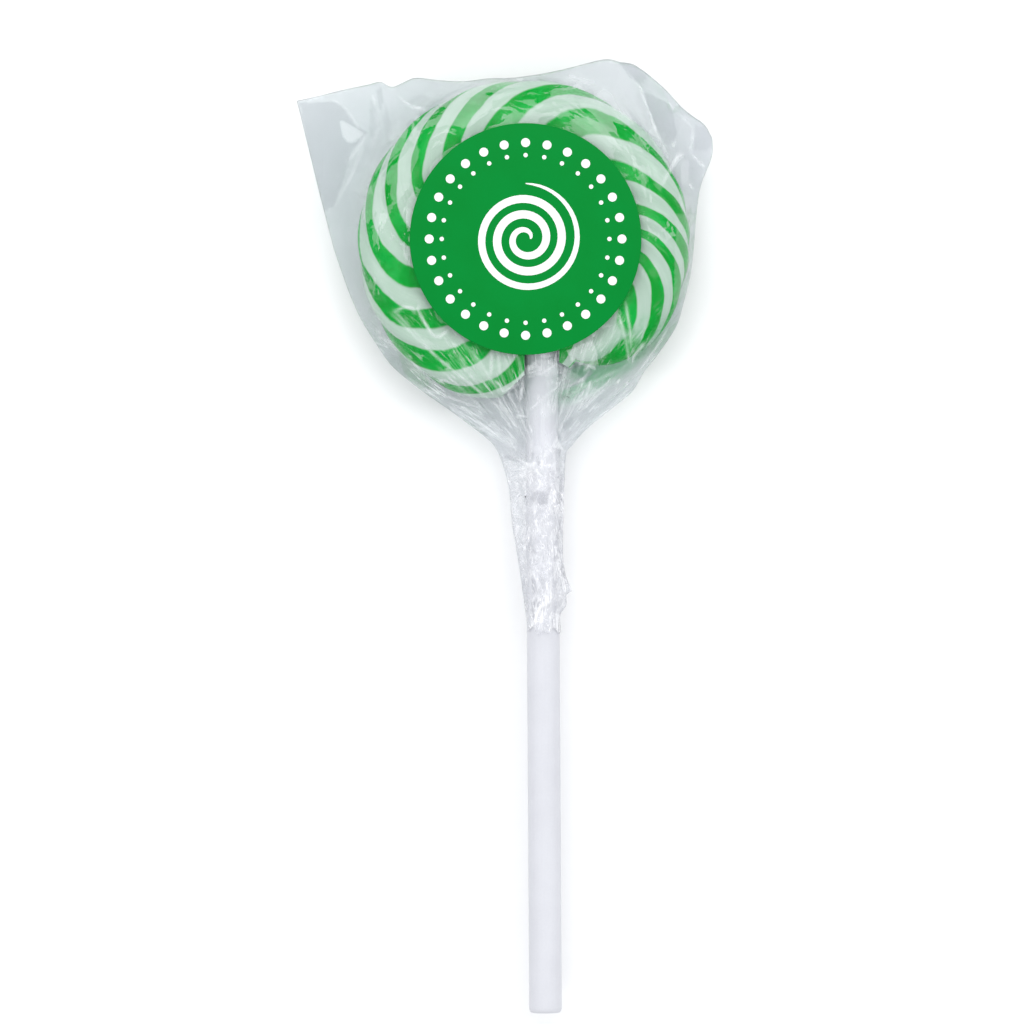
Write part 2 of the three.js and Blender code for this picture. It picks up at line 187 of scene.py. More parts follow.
class Nodes:
    """Adds nodes to one tree. A value is a number, a tuple or the output of another node."""

    def __init__(self, tree):
        self.tree = tree

    def give(self, socket, value):
        if isinstance(value, bpy.types.NodeSocket):
            self.tree.links.new(value, socket)
        else:
            socket.default_value = value

    def add(self, kind, inputs=None, **settings):
        node = self.tree.nodes.new(kind)
        for name, value in settings.items():
            setattr(node, name, value)
        return self.fill(node, inputs or {})

    def fill(self, node, inputs):
        for name, value in inputs.items():
            self.give(node.inputs[name], value)
        return node

    def feed(self, node, values):
        for socket, value in zip(node.inputs, values):
            self.give(socket, value)
        return node.outputs

    def math(self, operation, *values):
        return self.feed(self.add("ShaderNodeMath", operation=operation), values)[0]

    def times(self, first, *others):
        """The product of two or more values."""
        for value in others:
            first = self.math("MULTIPLY", first, value)
        return first

    def plus(self, a, b):
        return self.math("ADD", a, b)

    def minus(self, a, b):
        return self.math("SUBTRACT", a, b)

    def over(self, a, b):
        return self.math("DIVIDE", a, b)

    def larger(self, a, b):
        return self.math("MAXIMUM", a, b)

    def smaller(self, a, b):
        return self.math("MINIMUM", a, b)

    def times_plus(self, a, b, c):
        return self.math("MULTIPLY_ADD", a, b, c)

    def power(self, a, b):
        return self.math("POWER", a, b)

    def vector(self, operation, *values):
        outputs = self.feed(self.add("ShaderNodeVectorMath", operation=operation), values)
        return outputs[1 if operation == "LENGTH" else 0]

    def combine(self, x=0.0, y=0.0, z=0.0):
        return self.add("ShaderNodeCombineXYZ", {"X": x, "Y": y, "Z": z}).outputs[0]

    def separate(self, vector):
        return self.add("ShaderNodeSeparateXYZ", {"Vector": vector}).outputs

    def ramp(self, value, low, high, start=0.0, end=1.0):
        """Goes smoothly from start to end while the value goes from low to high."""
        node = self.add("ShaderNodeMapRange", interpolation_type="SMOOTHSTEP")
        return self.feed(node, (value, low, high, start, end))[0]

    def fall(self, value, low, high):
        """Goes smoothly from 1 to 0 while the value goes from low to high."""
        return self.ramp(value, low, high, 1.0, 0.0)

    def off_half(self, value):
        return self.math("ABSOLUTE", self.minus(value, 0.5))

    def blend(self, share, start, end):
        return self.times_plus(self.minus(end, start), share, start)

    def mix_colour(self, share, a, b):
        node = self.add("ShaderNodeMix", data_type="RGBA")
        self.give(node.inputs["Factor"], share)
        self.give(node.inputs[6], a)
        self.give(node.inputs[7], b)
        return node.outputs[2]

    def noise(self, vector, scale, detail=2.0, roughness=0.5, distortion=0.0):
        inputs = {"Vector": vector, "Scale": scale, "Detail": detail}
        inputs |= {"Roughness": roughness, "Distortion": distortion}
        return self.add("ShaderNodeTexNoise", inputs).outputs[0]

    def stretch(self, vector, x, y, z):
        return self.vector("MULTIPLY", vector, (x, y, z))

    def scaled(self, vector, amount):
        node = self.add("ShaderNodeVectorMath", {"Scale": amount}, operation="SCALE")
        self.give(node.inputs[0], vector)
        return node.outputs[0]

    def moved(self, geometry, **inputs):
        """Geometry put through a transform. Translation, Rotation and Scale are its inputs."""
        return self.add("GeometryNodeTransform", {"Geometry": geometry, **inputs}).outputs[0]

    def dressed(self, geometry, material):
        """The end of a main tree: real geometry with its finish."""
        real = self.add("GeometryNodeRealizeInstances", {"Geometry": geometry}).outputs[0]
        inputs = {"Geometry": real, "Material": material}
        return self.add("GeometryNodeSetMaterial", inputs).outputs[0]

    def place(self, group, inputs):
        kind = "GeometryNodeGroup" if group.bl_idname == "GeometryNodeTree" else "ShaderNodeGroup"
        return self.add(kind, inputs, node_tree=group)


def new_group(name, kind, inputs, outputs):
    """A node group with named sockets. Returns its tree, its nodes, its inputs and its exit."""
    tree = bpy.data.node_groups.new(name, kind)
    for label, socket in inputs:
        tree.interface.new_socket(label, in_out="INPUT", socket_type="NodeSocket" + socket)
    for label, socket in outputs:
        tree.interface.new_socket(label, in_out="OUTPUT", socket_type="NodeSocket" + socket)
    n = Nodes(tree)
    entry = n.add("NodeGroupInput").outputs
    leave = n.add("NodeGroupOutput").inputs
    return tree, n, entry, leave


def shape_group(name, numbers, *others):
    """A group that makes a shape, with a number input for each of the names."""
    inputs = [(label, "Float") for label in numbers] + list(others)
    return new_group(name, "GeometryNodeTree", inputs, [("Geometry", "Geometry")])


def new_material(name):
    material = bpy.data.materials.new(name)
    material.use_nodes = True
    n = Nodes(material.node_tree)
    shader = material.node_tree.nodes["Principled BSDF"]
    return material, n, shader


def object_place(n):
    return n.add("ShaderNodeTexCoord").outputs["Object"]


# Pieces


def metres(*lengths):
    return tuple(length * MM for length in lengths)


def new_object(name, data):
    item = bpy.data.objects.new(name, data)
    bpy.context.scene.collection.objects.link(item)
    return item


def new_piece(name, mesh, material, slot_name, *nodes):
    piece = new_object(name, mesh)
    if material:
        mesh.materials.clear()
        mesh.materials.append(material)
    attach(piece, "root")
    if nodes:
        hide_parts(*nodes)
    return piece


def smooth_mesh(mesh, angle=40.0):
    mesh.polygons.foreach_set("use_smooth", np.ones(len(mesh.polygons), dtype=bool))
    mesh.set_sharp_from_angle(angle=math.radians(angle))
    mesh.update()
    return mesh


def mesh_of(name, points, faces):
    """A mesh from points in millimetres."""
    mesh = bpy.data.meshes.new(name)
    mesh.from_pydata((np.asarray(points) * MM).tolist(), [], faces)
    mesh.validate()
    return mesh


def lathe(profile, sides):
    """A closed turned shape round Z. The profile runs from the axis at the foot to the axis at the top."""
    points = [(0.0, 0.0, profile[0][1])]
    for radius, height in profile[1:-1]:
        for k in range(sides):
            angle = 2 * math.pi * k / sides
            points.append((radius * math.cos(angle), radius * math.sin(angle), height))
    points.append((0.0, 0.0, profile[-1][1]))
    rings = len(profile) - 2
    faces = []
    for k in range(sides):
        after = (k + 1) % sides
        faces.append((0, 1 + after, 1 + k))
        for ring in range(rings - 1):
            low = 1 + ring * sides
            faces.append((low + k, low + after, low + sides + after, low + sides + k))
        low = 1 + (rings - 1) * sides
        faces.append((low + k, low + after, len(points) - 1))
    return np.array(points), faces


def grown_mesh(name, tree, inputs):
    """The mesh that a geometry tree makes, as a plain mesh."""
    carrier = new_object(name, bpy.data.meshes.new(name))
    modifier = carrier.modifiers.new("shape", "NODES")
    modifier.node_group = tree
    for item in tree.interface.items_tree:
        if item.item_type == "SOCKET" and item.in_out == "INPUT" and item.name in inputs:
            modifier[item.identifier] = inputs[item.name]
    graph = bpy.context.evaluated_depsgraph_get()
    mesh = bpy.data.meshes.new_from_object(carrier.evaluated_get(graph))
    mesh.name = name
    carrier.modifiers.remove(modifier)
    bpy.data.objects.remove(carrier)
    return mesh


# The candy: a rope of strands, twisted, coiled and pressed


def rim_radius(n, sizes, turn):
    left = n.times(sizes["Rim swell left"], n.ramp(turn, *LEFT_SWELL_TURNS))
    right = n.times(sizes["Rim swell right"], n.fall(turn, *RIGHT_SWELL_TURNS))
    return n.plus(n.plus(sizes["Rim radius"], left), right)


def rope_centre_group():
    inputs = [(name, "Float") for name in ("Turn", *CENTRE_SIZES)]
    results = [("Centre", "Vector")]
    tree, n, entry, leave = new_group("Rope centre", "GeometryNodeTree", inputs, results)
    turn = entry["Turn"]
    outer = n.minus(rim_radius(n, entry, turn), entry["Rope half width"])
    dive = n.ramp(turn, DIVE_START, DIVE_END)
    radius = n.blend(dive, outer, entry["Core radius"])
    bearing = n.math("RADIANS", n.minus(OUTER_END_BEARING, turn))
    x = n.times(radius, n.math("SINE", bearing))
    y = n.times(radius, n.math("COSINE", bearing))
    n.give(leave["Centre"], n.combine(x, y))
    return tree


def end_share(n, turn):
    """How full the rope's section is, from 1 down to the least share at its two ends."""

    def tapered(passed, taper, bluntness, power):
        left = n.power(n.larger(n.minus(1.0, n.over(passed, taper)), 0.0), bluntness)
        return n.power(n.larger(n.minus(1.0, left), 0.0), power)

    outer = tapered(turn, OUTER_TAPER, 3.0, 1.2)
    inner = tapered(n.minus(ROPE_END, turn), INNER_TAPER, 2.0, 0.5)
    return n.larger(n.times(outer, inner), LEAST_SHARE)


def strand_twist(n, turn):
    bearing = n.minus(OUTER_END_BEARING, turn)
    tight = n.over(n.minus(bearing, TIGHT_BEARING), TIGHT_WIDTH)
    tight = n.times(n.math("TANH", tight), 0.5 * TIGHT_STRANDS)
    bunched = n.times(n.math("COSINE", n.math("RADIANS", bearing)), LEFT_BUNCH_STRANDS)
    strands = n.times_plus(bearing, STRANDS_PER_TURN / 360, n.plus(tight, bunched))
    return n.times(strands, 2 * math.pi / ROPE_STRANDS)


def squared(n, value):
    power = n.power(n.math("ABSOLUTE", value), 2 / ROPE_SQUARENESS)
    return n.times(n.math("SIGN", value), power)


def rope_stretch_group(centre_group):
    """A closed stretch of rope, whose strands turn round it."""
    numbers = ["From", "To", *CANDY_SIZES]
    tree, n, entry, leave = shape_group("Twisted rope", numbers, ("Steps", "Int"), ("Sides", "Int"))
    rows = n.plus(entry["Steps"], 3.0)
    columns = n.plus(entry["Sides"], 1.0)
    grid = n.add("GeometryNodeMeshGrid", {"Vertices X": columns, "Vertices Y": rows})
    x, y, _ = n.separate(n.add("GeometryNodeInputPosition").outputs[0])
    around = n.plus(x, 0.5)
    row = n.times_plus(n.plus(y, 0.5), n.plus(entry["Steps"], 2.0), -1.0)
    row = n.math("ROUND", row)
    held = n.smaller(n.larger(row, 0.0), entry["Steps"])
    on_rope = n.math("COMPARE", row, held, 0.1)
    turn = n.blend(n.over(held, entry["Steps"]), entry["From"], entry["To"])

    turned = n.times(around, 2 * math.pi)
    angle = n.plus(turned, strand_twist(n, turn))
    strand = n.times(around, float(ROPE_STRANDS))
    marked = marked_strands(n, grid.outputs["Mesh"], n.combine(strand, turn, angle))

    def centre(step):
        inputs = {name: entry[name] for name in CENTRE_SIZES}
        inputs["Turn"] = n.plus(turn, step)
        return n.place(centre_group, inputs).outputs[0]

    ahead = n.vector("NORMALIZE", n.vector("SUBTRACT", centre(0.5), centre(-0.5)))
    outward = n.vector("CROSS_PRODUCT", ahead, (0.0, 0.0, 1.0))
    share = end_share(n, turn)
    core = n.ramp(turn, DIVE_START, DIVE_END)
    half_width = n.blend(core, entry["Rope half width"], entry["Core half width"])
    half_width = n.times(half_width, share)
    half_height = n.times(entry["Half height"], n.power(share, 0.4))
    flute = n.math("COSINE", n.times(turned, float(ROPE_STRANDS)))
    dip = n.times(entry["Flute depth"], n.times_plus(flute, -0.5, 0.5))
    dip = n.times(dip, share)
    across = n.times(n.minus(half_width, dip), squared(n, n.math("SINE", angle)))
    up = n.times(n.minus(half_height, dip), squared(n, n.math("COSINE", angle)))
    across = n.times(across, on_rope)
    up = n.plus(n.times(up, on_rope), entry["Middle height"])
    place = n.vector("ADD", centre(0.0), n.scaled(outward, across))
    place = n.vector("ADD", place, n.combine(0.0, 0.0, up))
    inputs = {"Geometry": marked, "Position": n.scaled(place, MM)}
    moved = n.add("GeometryNodeSetPosition", inputs).outputs[0]
    closed = n.add("GeometryNodeMergeByDistance", {"Geometry": moved, "Distance": 1e-6})
    n.give(leave["Geometry"], closed.outputs[0])
    return tree


def stick_socket(n):
    """A rod in the stick's place, to be cut out of the candy."""
    x, y, lean = stick_line()
    depth = (STICK_TOP_Y - STICK_LOW_Y) * MM
    inputs = {"Vertices": 48, "Radius": (STICK_RADIUS + SOCKET_GAP) * MM, "Depth": depth}
    rod = n.add("GeometryNodeMeshCylinder", inputs).outputs["Mesh"]
    place = metres(x, y, MID_HEIGHT)
    return n.moved(rod, Translation=place, Rotation=(-math.pi / 2, 0.0, -lean))


def opening_block(n, middle, size, turn_deg):
    """One of the blocks that open the candy's rim for the stick."""
    size = metres(*size, 3 * CANDY_SIZES["Half height"])
    block = n.add("GeometryNodeMeshCube", {"Size": size}).outputs["Mesh"]
    place = metres(*middle, MID_HEIGHT)
    return n.moved(block, Translation=place, Rotation=(0.0, 0.0, math.radians(turn_deg)))


def marked_strands(n, geometry, value):
    """Keeps each corner's strand, turn along the rope and angle from the crest."""
    inputs = {"Geometry": geometry, "Name": "strands", "Value": value}
    kind = "GeometryNodeStoreNamedAttribute"
    return n.add(kind, inputs, data_type="FLOAT_VECTOR", domain="CORNER").outputs[0]


def candy_tree():
    others = [("Sides", "Int"), ("Material", "Material")]
    tree, n, entry, leave = shape_group("Coiled candy", CANDY_SIZES, *others)
    rope = rope_stretch_group(rope_centre_group())
    union = n.add("GeometryNodeMeshBoolean", operation="UNION", solver="MANIFOLD")
    for start, end, steps in STRETCHES:
        inputs = {name: entry[name] for name in CANDY_SIZES}
        inputs |= {"From": start, "To": end, "Steps": steps, "Sides": entry["Sides"]}
        n.give(union.inputs["Mesh 2"], n.place(rope, inputs).outputs[0])
    ball = n.add("GeometryNodeMeshUVSphere", {"Segments": 24, "Rings": 16, "Radius": MM})
    plug = n.moved(ball.outputs["Mesh"], Translation=metres(0.0, 0.0, MID_HEIGHT), Scale=DIMPLE_PLUG)
    n.give(union.inputs["Mesh 2"], marked_strands(n, plug, PLAIN_SUGAR))
    cut = n.add("GeometryNodeMeshBoolean", operation="DIFFERENCE", solver="MANIFOLD")
    n.give(cut.inputs["Mesh 1"], union.outputs["Mesh"])
    for cutter in [stick_socket(n)] + [opening_block(n, *opening) for opening in OPENINGS]:
        n.give(cut.inputs["Mesh 2"], marked_strands(n, cutter, PLAIN_SUGAR))
    n.give(leave["Geometry"], n.dressed(cut.outputs["Mesh"], entry["Material"]))
    return tree


def make_candy():
    material = candy_material()
    inputs = dict(CANDY_SIZES, Sides=SIDES_OF_ROPE, Material=material)
    mesh = smooth_mesh(grown_mesh("candy_coil", candy_tree(), inputs), 50.0)
    return new_piece("candy_coil", mesh, None, "boiled_sugar", "candy")


# The stick


def stick_x(y):
    share = (y - LABEL_EDGE_Y) / (STICK_LOW_Y - LABEL_EDGE_Y)
    return STICK_X_AT_LABEL + share * (STICK_X_AT_FOOT - STICK_X_AT_LABEL)


def stick_line():
    """The stick's middle and its lean."""
    low_x, high_x = stick_x(STICK_LOW_Y), stick_x(STICK_TOP_Y)
    lean = math.atan2(high_x - low_x, STICK_TOP_Y - STICK_LOW_Y)
    return (low_x + high_x) / 2, (STICK_LOW_Y + STICK_TOP_Y) / 2, lean


def make_stick():
    """Rolled paper, with a dimple where the roll starts and softly crushed edges."""
    half = (STICK_TOP_Y - STICK_LOW_Y) / 2
    foot = [(0.0, 0.25), (0.3, 0.25), (0.42, 0.06), (1.0, 0.0)]
    foot += [(1.75, 0.02), (2.0, 0.1), (2.16, 0.28), (2.24, 0.55)]
    profile = [(radius, -half + height) for radius, height in foot]
    profile += [(STICK_RADIUS, -half + 0.9 + k * (2 * half - 1.4) / 60) for k in range(61)]
    profile += [(STICK_RADIUS - 0.5, half), (0.0, half)]
    points, faces = lathe(profile, 64)
    x, y, along = points.T
    middle_x, middle_y, lean = stick_line()
    placed_x = middle_x + x * math.cos(lean) + along * math.sin(lean)
    placed_y = middle_y - x * math.sin(lean) + along * math.cos(lean)
    placed = np.column_stack([placed_x, placed_y, MID_HEIGHT - y])
    mesh = smooth_mesh(mesh_of("paper_stick", placed, faces), 35.0)
    return new_piece("paper_stick", mesh, stick_material(), "stick_paper", "stick")


# The label and its generic print


def make_label():
    edge, low, high = LABEL_EDGE, LABEL_LOW, LABEL_TOP
    profile = [(0.0, low), (LABEL_RADIUS - edge, low), (LABEL_RADIUS, low + edge)]
    profile += [(LABEL_RADIUS, high - edge), (LABEL_RADIUS - 0.35 * edge, high - 0.25 * edge)]
    profile += [(LABEL_RADIUS - edge, high), (LABEL_RADIUS / 2, high), (0.0, high)]
    points, faces = lathe(profile, 160)
    mesh = smooth_mesh(mesh_of("round_label", points, faces), 30.0)
    return new_piece("round_label", mesh, label_material(), "label_face", "label")


def spiral_band_group():
    """A flat closed band along a spiral, widest in its middle."""
    numbers = ["Inner radius", "Outer radius", "Turns", "Width", "Thickness", "Height"]
    tree, n, entry, leave = shape_group("Spiral band", numbers)
    inputs = {"Size": (1.0, 1.0, 1.0), "Vertices X": 160, "Vertices Y": 3, "Vertices Z": 2}
    bar = n.add("GeometryNodeMeshCube", inputs)
    x, y, z = n.separate(n.add("GeometryNodeInputPosition").outputs[0])
    share = n.plus(x, 0.5)
    angle = n.times(n.times(share, entry["Turns"]), 2 * math.pi)
    swell = n.math("SINE", n.times(share, math.pi))
    swell = n.power(n.larger(swell, 0.0), 0.35)
    width = n.times(entry["Width"], n.larger(swell, 0.12))
    radius = n.blend(share, entry["Inner radius"], entry["Outer radius"])
    radius = n.times_plus(y, width, radius)
    place = n.combine(
        n.times(radius, n.math("COSINE", angle)),
        n.times(radius, n.math("SINE", angle)),
        n.times_plus(z, entry["Thickness"], entry["Height"]),
    )
    inputs = {"Geometry": bar.outputs["Mesh"], "Position": n.scaled(place, MM)}
    moved = n.add("GeometryNodeSetPosition", inputs).outputs[0]
    turned = n.add("GeometryNodeFlipFaces", {"Mesh": moved})
    n.give(leave["Geometry"], turned.outputs[0])
    return tree


def ring_of_dots(n, radius, count, dot_radius, height, thickness):
    ring = n.add("GeometryNodeMeshCircle", {"Vertices": count, "Radius": radius})
    size = n.times(dot_radius, MM)
    dot = n.add("GeometryNodeMeshCylinder", {"Vertices": 20, "Radius": size, "Depth": thickness})
    lifted = n.moved(ring.outputs["Mesh"], Translation=n.combine(0.0, 0.0, height))
    inputs = {"Points": lifted, "Instance": dot.outputs["Mesh"]}
    return n.add("GeometryNodeInstanceOnPoints", inputs).outputs[0]


def print_tree():
    others = [("Dots", "Int"), ("Material", "Material")]
    tree, n, entry, leave = shape_group("Label print", PRINT_SIZES, *others)
    height = n.times_plus(entry["Ink thickness"], INK_LIFT, entry["Face height"])
    inputs = {
        "Inner radius": SWIRL_START,
        "Outer radius": entry["Swirl radius"],
        "Turns": entry["Swirl turns"],
        "Width": entry["Line width"],
        "Thickness": entry["Ink thickness"],
        "Height": height,
    }
    swirl = n.place(spiral_band_group(), inputs)
    lift = n.times(height, MM)
    depth = n.times(entry["Ink thickness"], MM)
    ring = n.times(entry["Ring radius"], MM)
    inner = n.times(ring, INNER_RING_SHARE)
    joined = n.add("GeometryNodeJoinGeometry")
    large = ring_of_dots(n, ring, entry["Dots"], entry["Dot radius"], lift, depth)
    small = ring_of_dots(n, inner, entry["Dots"], entry["Small dot radius"], lift, depth)
    for geometry in (swirl.outputs[0], large, small):
        n.give(joined.inputs[0], geometry)
    n.give(leave["Geometry"], n.dressed(joined.outputs[0], entry["Material"]))
    return tree


def make_print():
    inputs = dict(PRINT_SIZES, Dots=DOTS_IN_RING, Material=print_material())
    mesh = grown_mesh("label_swirl_print", print_tree(), inputs)
    return new_piece("label_swirl_print", mesh, None, "label_face")


# The film bag: a front and a back sheet drawn over the candy and gathered round the stick


def curve_through(points, samples=12):
    """Points along a smooth curve through the given ones, with the share of its length at each."""
    p = np.array([points[0], *points, points[-1]], dtype=float)
    t = np.linspace(0, 1, samples, endpoint=False)[:, None]
    parts = []
    for a, b, c, d in zip(p, p[1:], p[2:], p[3:]):
        bend = (2 * a - 5 * b + 4 * c - d) * t**2 + (3 * b - a - 3 * c + d) * t**3
        parts.append(0.5 * (2 * b + (c - a) * t + bend))
    line = np.vstack([*parts, p[-1:]])
    lengths = np.concatenate([[0], np.cumsum(np.hypot(*np.diff(line, axis=0).T))])
    return line, lengths / lengths[-1]


def at_share(curve, share):
    line, shares = curve
    return np.stack([np.interp(share, shares, line[:, 0]), np.interp(share, shares, line[:, 1])])


def film_plan(columns, rows):
    """Where the film's grid lies on the table, as two arrays of x and y."""
    s = np.linspace(0, 1, columns + 1)
    across = 0.5 * s + 0.25 * (1 - np.cos(np.pi * s))
    down = np.linspace(0, 1, rows + 1)
    left, right = (at_share(curve_through(edge), down)[:, :, None] for edge in (LEFT_EDGE, RIGHT_EDGE))
    top = at_share(curve_through(TOP_EDGE), across)[:, None, :]
    ends = (TOP_EDGE[0], TOP_EDGE[-1], LEFT_EDGE[-1], RIGHT_EDGE[-1])
    corners = [np.array(point)[:, None, None] for point in ends]
    u, v = across[None, None, :], down[None, :, None]
    sides = left * (1 - u) + right * u
    neck = corners[2] * (1 - u) + corners[3] * u
    upper = corners[0] * (1 - u) + corners[1] * u
    plan = sides + top * (1 - v) + neck * v - (upper * (1 - v) + neck * v)
    ragged = 0.45 + 0.55 * crumple(u[0] * 9, 0 * u[0], 61, 2, 0.5)
    plan[1] = plan[1] + NECK_RAGGEDNESS * np.maximum(ragged, 0) * smoothstep(v[0], 0.9, 1.0)
    return plan, np.broadcast_to(across, (rows + 1, columns + 1)), down[:, None] + 0 * across


def smoothstep(value, low, high):
    share = np.clip((value - low) / (high - low), 0, 1)
    return share * share * (3 - 2 * share)


def rim_at(x, y):
    turn = (OUTER_END_BEARING - np.degrees(np.arctan2(x, y)) + 720) % 360
    left = CANDY_SIZES["Rim swell left"] * smoothstep(turn, *LEFT_SWELL_TURNS)
    right = CANDY_SIZES["Rim swell right"] * (1 - smoothstep(turn, *RIGHT_SWELL_TURNS))
    return CANDY_SIZES["Rim radius"] + left + right


def least_height(x, y, under_label):
    """How far from the middle plane the film has to be, to clear what is in the bag."""
    crest = CANDY_SIZES["Rim radius"] - CANDY_SIZES["Rope half width"]
    out = np.hypot(x, y)
    reach = np.clip((out - crest) / (rim_at(x, y) - crest + 0.1), 0, 1)
    shoulder = (1 - reach**FILM_SQUARENESS) ** (1 / FILM_SQUARENESS)
    candy = (CANDY_SIZES["Half height"] + FILM_CLEARANCE) * shoulder
    radius = STICK_RADIUS + FILM_CLEARANCE
    aside = np.minimum(np.abs(x - stick_x(y)), radius)
    stick = np.where(y < 0, np.sqrt(radius**2 - aside**2), 0)
    height = np.maximum(candy, stick)
    if under_label:
        flat = LABEL_LOW - 0.03 - MID_HEIGHT
        skirt = flat - LABEL_SKIRT_SLOPE * np.maximum(out - LABEL_RADIUS - LABEL_MARGIN, 0)
        height = np.maximum(height, np.where(out < LABEL_RADIUS + LABEL_SKIRT, skirt, 0))
    return height


def settled(plan, least, start):
    """Taut film lies on what is under it, and elsewhere each point is the mean of its neighbours."""
    height = start.copy()
    step_x = np.hypot(*(plan[:, :, 1:] - plan[:, :, :-1])) + 1e-4
    step_y = np.hypot(*(plan[:, 1:, :] - plan[:, :-1, :])) + 1e-4
    west, east = step_x[1:, :-1], step_x[1:, 1:]
    north = step_y[:, 1:-1]
    south = np.vstack([north[1:], north[-1:]])
    pulls = [1 / (west * (west + east)), 1 / (east * (west + east))]
    pulls += [1 / (north * (north + south)), 1 / (south * (north + south))]
    total = sum(pulls)
    for _ in range(SETTLING_ROUNDS):
        below = np.vstack([height[2:, 1:-1], height[-2:-1, 1:-1]])
        mean = height[1:, :-2] * pulls[0] + height[1:, 2:] * pulls[1]
        mean = (mean + height[:-1, 1:-1] * pulls[2] + below * pulls[3]) / total
        height[1:, 1:-1] = np.maximum(least[1:, 1:-1], mean)
    return height


def finer(field, rows, columns):
    """The same field with more rows and columns."""
    old_rows, old_columns = field.shape
    r = np.linspace(0, old_rows - 1, rows)
    c = np.linspace(0, old_columns - 1, columns)
    wide = np.array([np.interp(c, np.arange(old_columns), line) for line in field])
    return np.array([np.interp(r, np.arange(old_rows), line) for line in wide.T]).T


def film_height(under_label):
    """Settles a coarse film first, then finer ones that start from it."""
    height = None
    for share in (4, 2, 1):
        plan, _, _ = film_plan(FILM_COLUMNS // share, FILM_ROWS // share)
        least = least_height(*plan, under_label)
        start = least if height is None else np.maximum(finer(height, *least.shape), least)
        for field in (least, start):
            field[0, :] = field[:, 0] = field[:, -1] = 0
        height = settled(plan, least, start)
    return height


def facets(s, t, seed):
    """A sheet of flat triangles, with random heights from -1 to 1 at their corners."""
    table = np.random.default_rng(seed).uniform(-1, 1, (64, 64))
    i, j = np.floor(s).astype(int), np.floor(t).astype(int)
    a, b = s - i, t - j

    def corner(di, dj):
        return table[(i + di) % 64, (j + dj) % 64]

    low = corner(0, 0) + a * (corner(1, 0) - corner(0, 0)) + b * (corner(0, 1) - corner(0, 0))
    high = corner(1, 1) + (1 - a) * (corner(0, 1) - corner(1, 1)) + (1 - b) * (corner(1, 0) - corner(1, 1))
    return np.where(a + b < 1, low, high)


def crumple(s, t, seed, octaves=3, finer_share=0.5):
    """Facets of several sizes on top of each other, each turned another way."""
    total = 0
    for octave in range(octaves):
        angle = seed + 1.1 * octave
        size = 2**octave
        a = size * (s * math.cos(angle) - t * math.sin(angle))
        b = size * (s * math.sin(angle) + t * math.cos(angle))
        total = total + finer_share**octave * facets(a, b, seed + octave)
    return total


def folded(x, y, creases):
    """Ridges with flat sides that run out at both ends, and the pale lines along their crests, stress
    whitening and painted highlights.
    """
    relief, lines = 0 * x, 0 * x
    for width, height, paleness, points in creases:
        steps = [math.hypot(b[0] - a[0], b[1] - a[1]) for a, b in zip(points, points[1:])]
        passed, whole = 0.0, sum(steps)
        ridge, line = 0 * x, 0 * x
        for (x0, y0), (x1, y1), step in zip(points, points[1:], steps):
            along = np.clip(((x - x0) * (x1 - x0) + (y - y0) * (y1 - y0)) / step**2, 0, 1)
            offset = np.hypot(x - x0 - along * (x1 - x0), y - y0 - along * (y1 - y0))
            ends = 1 - np.abs(2 * (passed + along * step) / whole - 1) ** 4
            ridge = np.maximum(ridge, ends * np.maximum(0, 1 - offset / width))
            line = np.maximum(line, ends * np.maximum(0, 1 - offset / CREASE_LINE))
            passed += step
        relief = relief + height * ridge
        lines = np.maximum(lines, paleness * line)
    return relief, lines


def within(x, y, corners):
    """Which points lie inside a shape with straight sides."""
    inside = np.zeros(x.shape, dtype=bool)
    for (x0, y0), (x1, y1) in zip(corners, corners[1:] + corners[:1]):
        crosses = (y0 > y) != (y1 > y)
        rise = (x1 - x0) / (y1 - y0) if y1 != y0 else 0.0
        inside ^= crosses & (x < x0 + (y - y0) * rise)
    return inside


# Painted light: each point takes the value of the facet it lies in
def painted_facet_light(x, y):
    painted_lights = 0 * x
    for painted_light, corners in PAINTED_LIGHT_FACETS:
        painted_lights = np.where(within(x, y, corners), painted_light, painted_lights)
    return painted_lights
